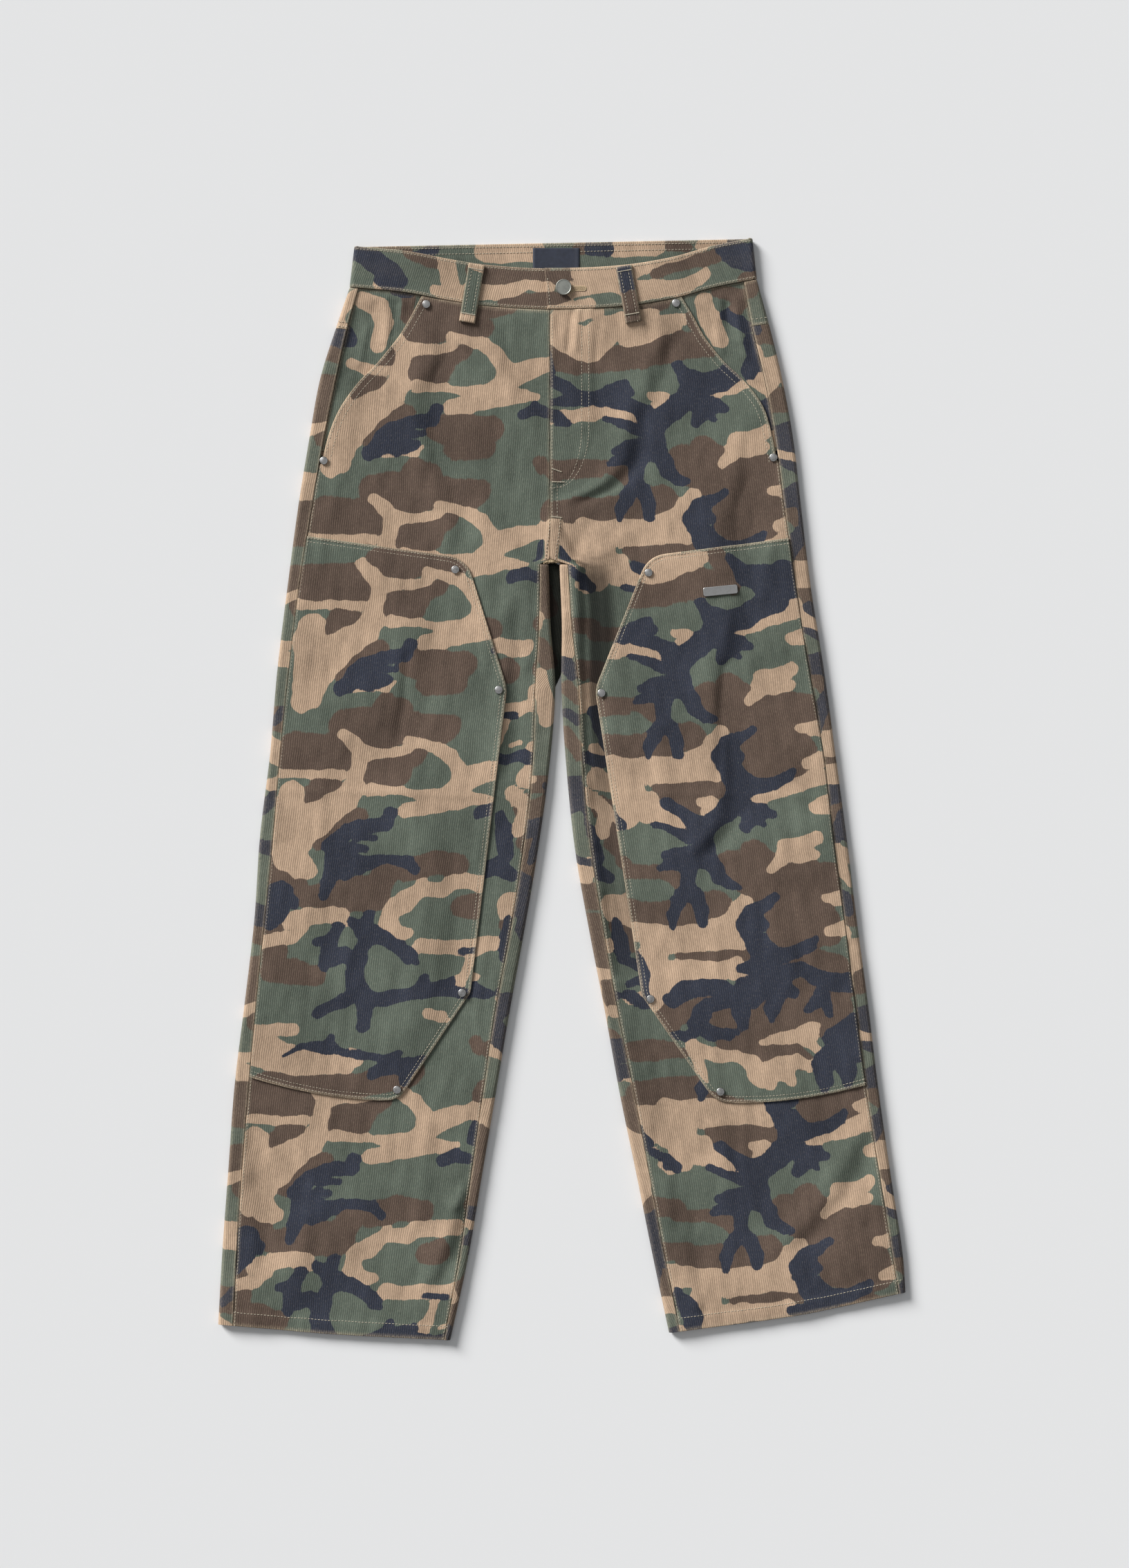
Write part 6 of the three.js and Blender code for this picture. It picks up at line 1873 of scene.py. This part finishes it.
def paper_floor(colour):
    """Matt seamless background paper: even and very slightly mottled."""
    tree = new_material("background_paper")
    place = add(tree, "TexCoord")
    mottle = add(tree, "TexNoise", {"Vector": place.outputs["Object"], "Scale": 30.0, "Detail": 2.0})
    faint = add(tree, "MapRange", {0: mottle, 3: 0.0, 4: 0.02})
    shade = add(tree, "Mix", {0: faint, 6: linear(colour), 7: linear("#ffffff")}, data_type="RGBA")
    surface = add(tree, "BsdfPrincipled", {
        "Base Color": shade, "Roughness": 1.0, "Specular IOR Level": 0.0})
    add(tree, "OutputMaterial", {"Surface": surface})


# ---- stage -------------------------------------------------------------------------------------
def floor():
    """The background paper that the trousers lie on."""
    paper_floor(bpy.context.scene.trouser_stage.floor)
    mesh = bpy.data.meshes.new("floor")
    corner = [(x * FLOOR_HALF, y * FLOOR_HALF, FLOOR_Z) for x, y in ((-1, -1), (1, -1), (1, 1), (-1, 1))]
    mesh.from_pydata(corner, [], [(0, 1, 2, 3)])
    add_object(mesh, bpy.data.materials["background_paper"])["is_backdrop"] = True


def key_light():
    """One soft, sun-like light from the upper left."""
    scene, look = bpy.context.scene, bpy.context.scene.trouser_stage
    sun = bpy.data.lights.new("key_light", "SUN")
    sun.energy, sun.angle = look.key, look.key_softness
    key = bpy.data.objects.new("key_light", sun)
    way = Vector((-0.72, 0.69, np.tan(look.key_height))).normalized()
    key.rotation_euler = way.to_track_quat("Z", "Y").to_euler()
    scene.collection.objects.link(key)


def sky():
    """A dim light box all round, brightest overhead."""
    scene, look = bpy.context.scene, bpy.context.scene.trouser_stage
    world = bpy.data.worlds.new("soft_box")
    world.use_nodes = True
    tree = world.node_tree
    tree.nodes.clear()
    way = add(tree, "TexCoord")
    height = add(tree, "SeparateXYZ", {0: way.outputs["Generated"]})
    overhead = add(tree, "MapRange", {
        0: height.outputs[2], 1: 0.2, 2: 0.98, 3: 0.25, 4: 1.0}, interpolation_type="SMOOTHSTEP")
    strength = add(tree, "Math", {0: overhead, 1: look.fill}, operation="MULTIPLY")
    light = add(tree, "Background", {"Color": (0.96, 0.98, 1.0, 1.0), "Strength": strength})
    add(tree, "OutputWorld", {"Surface": light})
    scene.world = world
    scene.view_settings.view_transform = "Standard"


def camera():
    """The camera, straight above and looking down."""
    scene, look = bpy.context.scene, bpy.context.scene.trouser_stage
    lens = bpy.data.cameras.new("camera")
    lens.sensor_fit, lens.sensor_height = "VERTICAL", SENSOR
    lens.lens = SENSOR * look.camera_height / look.view_height
    holder = bpy.data.objects.new("camera", lens)
    holder.location = (*VIEW_CENTRE, look.camera_height)
    scene.collection.objects.link(holder)
    scene.camera = holder


# ---- settings ----------------------------------------------------------------------------------
class TrouserCloth(bpy.types.PropertyGroup):
    """Sizes and colours of the cloth."""
    wale_pitch: bpy.props.FloatProperty(
        name="Wale pitch", description="Distance from rib to rib, in millimetres",
        default=2.1, min=0.8, max=6.0)
    tan: bpy.props.StringProperty(name="Tan", description="Tan of the print, sRGB", default="#ba9f86")
    brown: bpy.props.StringProperty(name="Brown", description="Brown of the print, sRGB", default="#605046")
    green: bpy.props.StringProperty(name="Green", description="Ground colour, sRGB", default="#5f675c")
    navy: bpy.props.StringProperty(
        name="Navy", description="Dark blue of the print, sRGB", default="#343844")
    worn_edge: bpy.props.StringProperty(
        name="Worn edge", description="Colour where the dye has rubbed off, sRGB", default="#c4b196")
    wear: bpy.props.FloatProperty(
        name="Wear", description="How far seam edges have paled",
        default=0.8, min=0.0, max=1.0, subtype="FACTOR")
    frost: bpy.props.FloatProperty(
        name="Frost", description="Pale fibres on the ribs",
        default=0.12, min=0.0, max=1.0, subtype="FACTOR")


class TrouserSewing(bpy.types.PropertyGroup):
    """Sizes and colours of the sewing."""
    pitch: bpy.props.FloatProperty(
        name="Stitch pitch", description="Distance from stitch to stitch, in millimetres",
        default=3.3, min=1.5, max=8.0)
    length: bpy.props.FloatProperty(
        name="Stitch length", description="Thread showing in each stitch, in millimetres",
        default=2.6, min=1.0, max=7.0)
    thickness: bpy.props.FloatProperty(
        name="Thread thickness", description="Width of the thread, in millimetres",
        default=0.68, min=0.2, max=1.5)
    thread: bpy.props.StringProperty(name="Thread", description="Topstitch colour, sRGB", default="#bfb5a0")
    buttonhole: bpy.props.StringProperty(
        name="Buttonhole", description="Buttonhole twist, sRGB", default="#c3ab88")


class TrouserMetal(bpy.types.PropertyGroup):
    """Colours of the metal trim."""
    nickel: bpy.props.StringProperty(name="Nickel", description="Rivets and plate, sRGB", default="#b4b3b2")
    pewter: bpy.props.StringProperty(name="Pewter", description="Fly button, sRGB", default="#a2a39c")


class TrouserStage(bpy.types.PropertyGroup):
    """The floor, the lights and the camera."""
    floor: bpy.props.StringProperty(
        name="Floor", description="Colour of the floor, sRGB", default="#e8e8e8")
    key: bpy.props.FloatProperty(
        name="Key light", description="Strength of the sun-like key light", default=5.0, min=0.0)
    key_height: bpy.props.FloatProperty(
        name="Key height", description="Height of the key light above the horizon",
        default=0.43, unit="ROTATION")
    key_softness: bpy.props.FloatProperty(
        name="Key softness", description="Angle that the key light fills", default=0.42, unit="ROTATION")
    fill: bpy.props.FloatProperty(
        name="Fill light", description="Strength of the light from overhead", default=0.42, min=0.0)
    camera_height: bpy.props.FloatProperty(
        name="Camera height", description="Camera above the floor", default=3.0, unit="LENGTH")
    view_height: bpy.props.FloatProperty(
        name="View height", description="Length of floor that the view takes in",
        default=1.542, unit="LENGTH")


# ---- operators ---------------------------------------------------------------------------------
class TrouserOperator(bpy.types.Operator):
    """Runs the functions in `makes`, once for each leg where `each_leg` is set."""
    bl_options = {"REGISTER", "UNDO"}
    makes = ()
    each_leg = False

    def execute(self, context):
        for make in self.makes:
            for given in ([(leg,) for leg in LEGS] if self.each_leg else [()]):
                make(*given)
        return {"FINISHED"}


class TROUSERS_OT_finishes(TrouserOperator):
    """Makes the finishes: corduroy, threads, label weave and metals"""
    bl_idname = "trousers.finishes"
    bl_label = "Finishes"

    def execute(self, context):
        scene = context.scene
        corduroy()
        spun_thread("topstitch_thread", scene.trouser_sewing.thread)
        spun_thread("buttonhole_twist", scene.trouser_sewing.buttonhole)
        label_weave("#141824", highlight="#2b3142")
        nickel, pewter = scene.trouser_metal.nickel, scene.trouser_metal.pewter
        metal("nickel_plate", nickel, tarnish="#6e6a62", roughness=0.42, grime=0.6)
        metal("satin_nickel", nickel, tarnish="#8d8a82", roughness=0.42, grime=0.25)
        metal("antiqued_pewter", pewter, tarnish="#6f706b", roughness=0.5, grime=0.35)
        return {"FINISHED"}


class TROUSERS_OT_stage(TrouserOperator):
    """Makes the floor, the lights and the camera"""
    bl_idname = "trousers.stage"
    bl_label = "Floor, lights and camera"
    makes = (floor, key_light, sky, camera)


class TROUSERS_OT_fronts(TrouserOperator):
    """Makes the two front panels"""
    bl_idname = "trousers.fronts"
    bl_label = "Fronts"
    makes = (front_panel,)
    each_leg = True


class TROUSERS_OT_backs(TrouserOperator):
    """Makes the two backs, which fold round both sides of each leg"""
    bl_idname = "trousers.backs"
    bl_label = "Backs"
    makes = (back_panel,)
    each_leg = True


class TROUSERS_OT_yokes(TrouserOperator):
    """Makes the two back yokes"""
    bl_idname = "trousers.yokes"
    bl_label = "Yokes"
    makes = (yoke,)
    each_leg = True


class TROUSERS_OT_pocket_facings(TrouserOperator):
    """Makes the facings that show in the pocket mouths"""
    bl_idname = "trousers.pocket_facings"
    bl_label = "Pocket facings"
    makes = (pocket_facing,)
    each_leg = True


class TROUSERS_OT_knees(TrouserOperator):
    """Makes the double-knee panels"""
    bl_idname = "trousers.knees"
    bl_label = "Double knees"
    makes = (knee_panel,)
    each_leg = True


class TROUSERS_OT_waistband(TrouserOperator):
    """Makes the waistband"""
    bl_idname = "trousers.waistband"
    bl_label = "Waistband"
    makes = (waistband,)


class TROUSERS_OT_belt_loops(TrouserOperator):
    """Makes the two front belt loops"""
    bl_idname = "trousers.belt_loops"
    bl_label = "Belt loops"
    makes = (belt_loop,)
    each_leg = True


class TROUSERS_OT_label(TrouserOperator):
    """Makes the bare waist label"""
    bl_idname = "trousers.label"
    bl_label = "Waist label"
    makes = (waist_label,)


class TROUSERS_OT_sewing(TrouserOperator):
    """Sews the topstitching, the tacks and the buttonhole"""
    bl_idname = "trousers.sewing"
    bl_label = "Sewing"
    makes = (topstitching, bartacks, buttonhole, seam_end)


class TROUSERS_OT_metal(TrouserOperator):
    """Makes the rivets, the fly button and the plate"""
    bl_idname = "trousers.metal"
    bl_label = "Metal trim"
    makes = (rivets, fly_button, leg_plate)


OPERATORS = (
    TROUSERS_OT_finishes, TROUSERS_OT_stage, TROUSERS_OT_backs, TROUSERS_OT_yokes,
    TROUSERS_OT_pocket_facings, TROUSERS_OT_fronts, TROUSERS_OT_knees, TROUSERS_OT_waistband,
    TROUSERS_OT_belt_loops, TROUSERS_OT_label, TROUSERS_OT_sewing, TROUSERS_OT_metal)
SETTINGS = {
    "trouser_cloth": TrouserCloth, "trouser_sewing": TrouserSewing,
    "trouser_metal": TrouserMetal, "trouser_stage": TrouserStage}


class TROUSERS_PT_panel(bpy.types.Panel):
    """Settings and steps of the trousers"""
    bl_label = "Carpenter Trousers"
    bl_idname = "TROUSERS_PT_panel"
    bl_space_type = "VIEW_3D"
    bl_region_type = "UI"
    bl_category = "Trousers"

    def draw(self, context):
        for name, group in SETTINGS.items():
            box = self.layout.box()
            box.label(text=group.__doc__)
            for setting in group.__annotations__:
                box.prop(getattr(context.scene, name), setting)
        for operator in OPERATORS:
            self.layout.operator(operator.bl_idname)


def register():
    for group in SETTINGS.values():
        bpy.utils.register_class(group)
    for operator in (*OPERATORS, TROUSERS_PT_panel):
        bpy.utils.register_class(operator)
    for name, group in SETTINGS.items():
        setattr(bpy.types.Scene, name, bpy.props.PointerProperty(type=group))


def unregister():
    for name in SETTINGS:
        delattr(bpy.types.Scene, name)
    for kind in (TROUSERS_PT_panel, *reversed(OPERATORS), *SETTINGS.values()):
        bpy.utils.unregister_class(kind)


def main():
    """Registers the classes, makes every piece in order and gathers both boxes."""
    register()
    for operator in OPERATORS:
        group, step = operator.bl_idname.split(".")
        getattr(getattr(bpy.ops, group), step)()
    boxes = {"cad": cad_box, "visual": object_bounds()}
    {name: [list(corner) for corner in box] for name, box in boxes.items()}


if __name__ == "__main__":
    main()
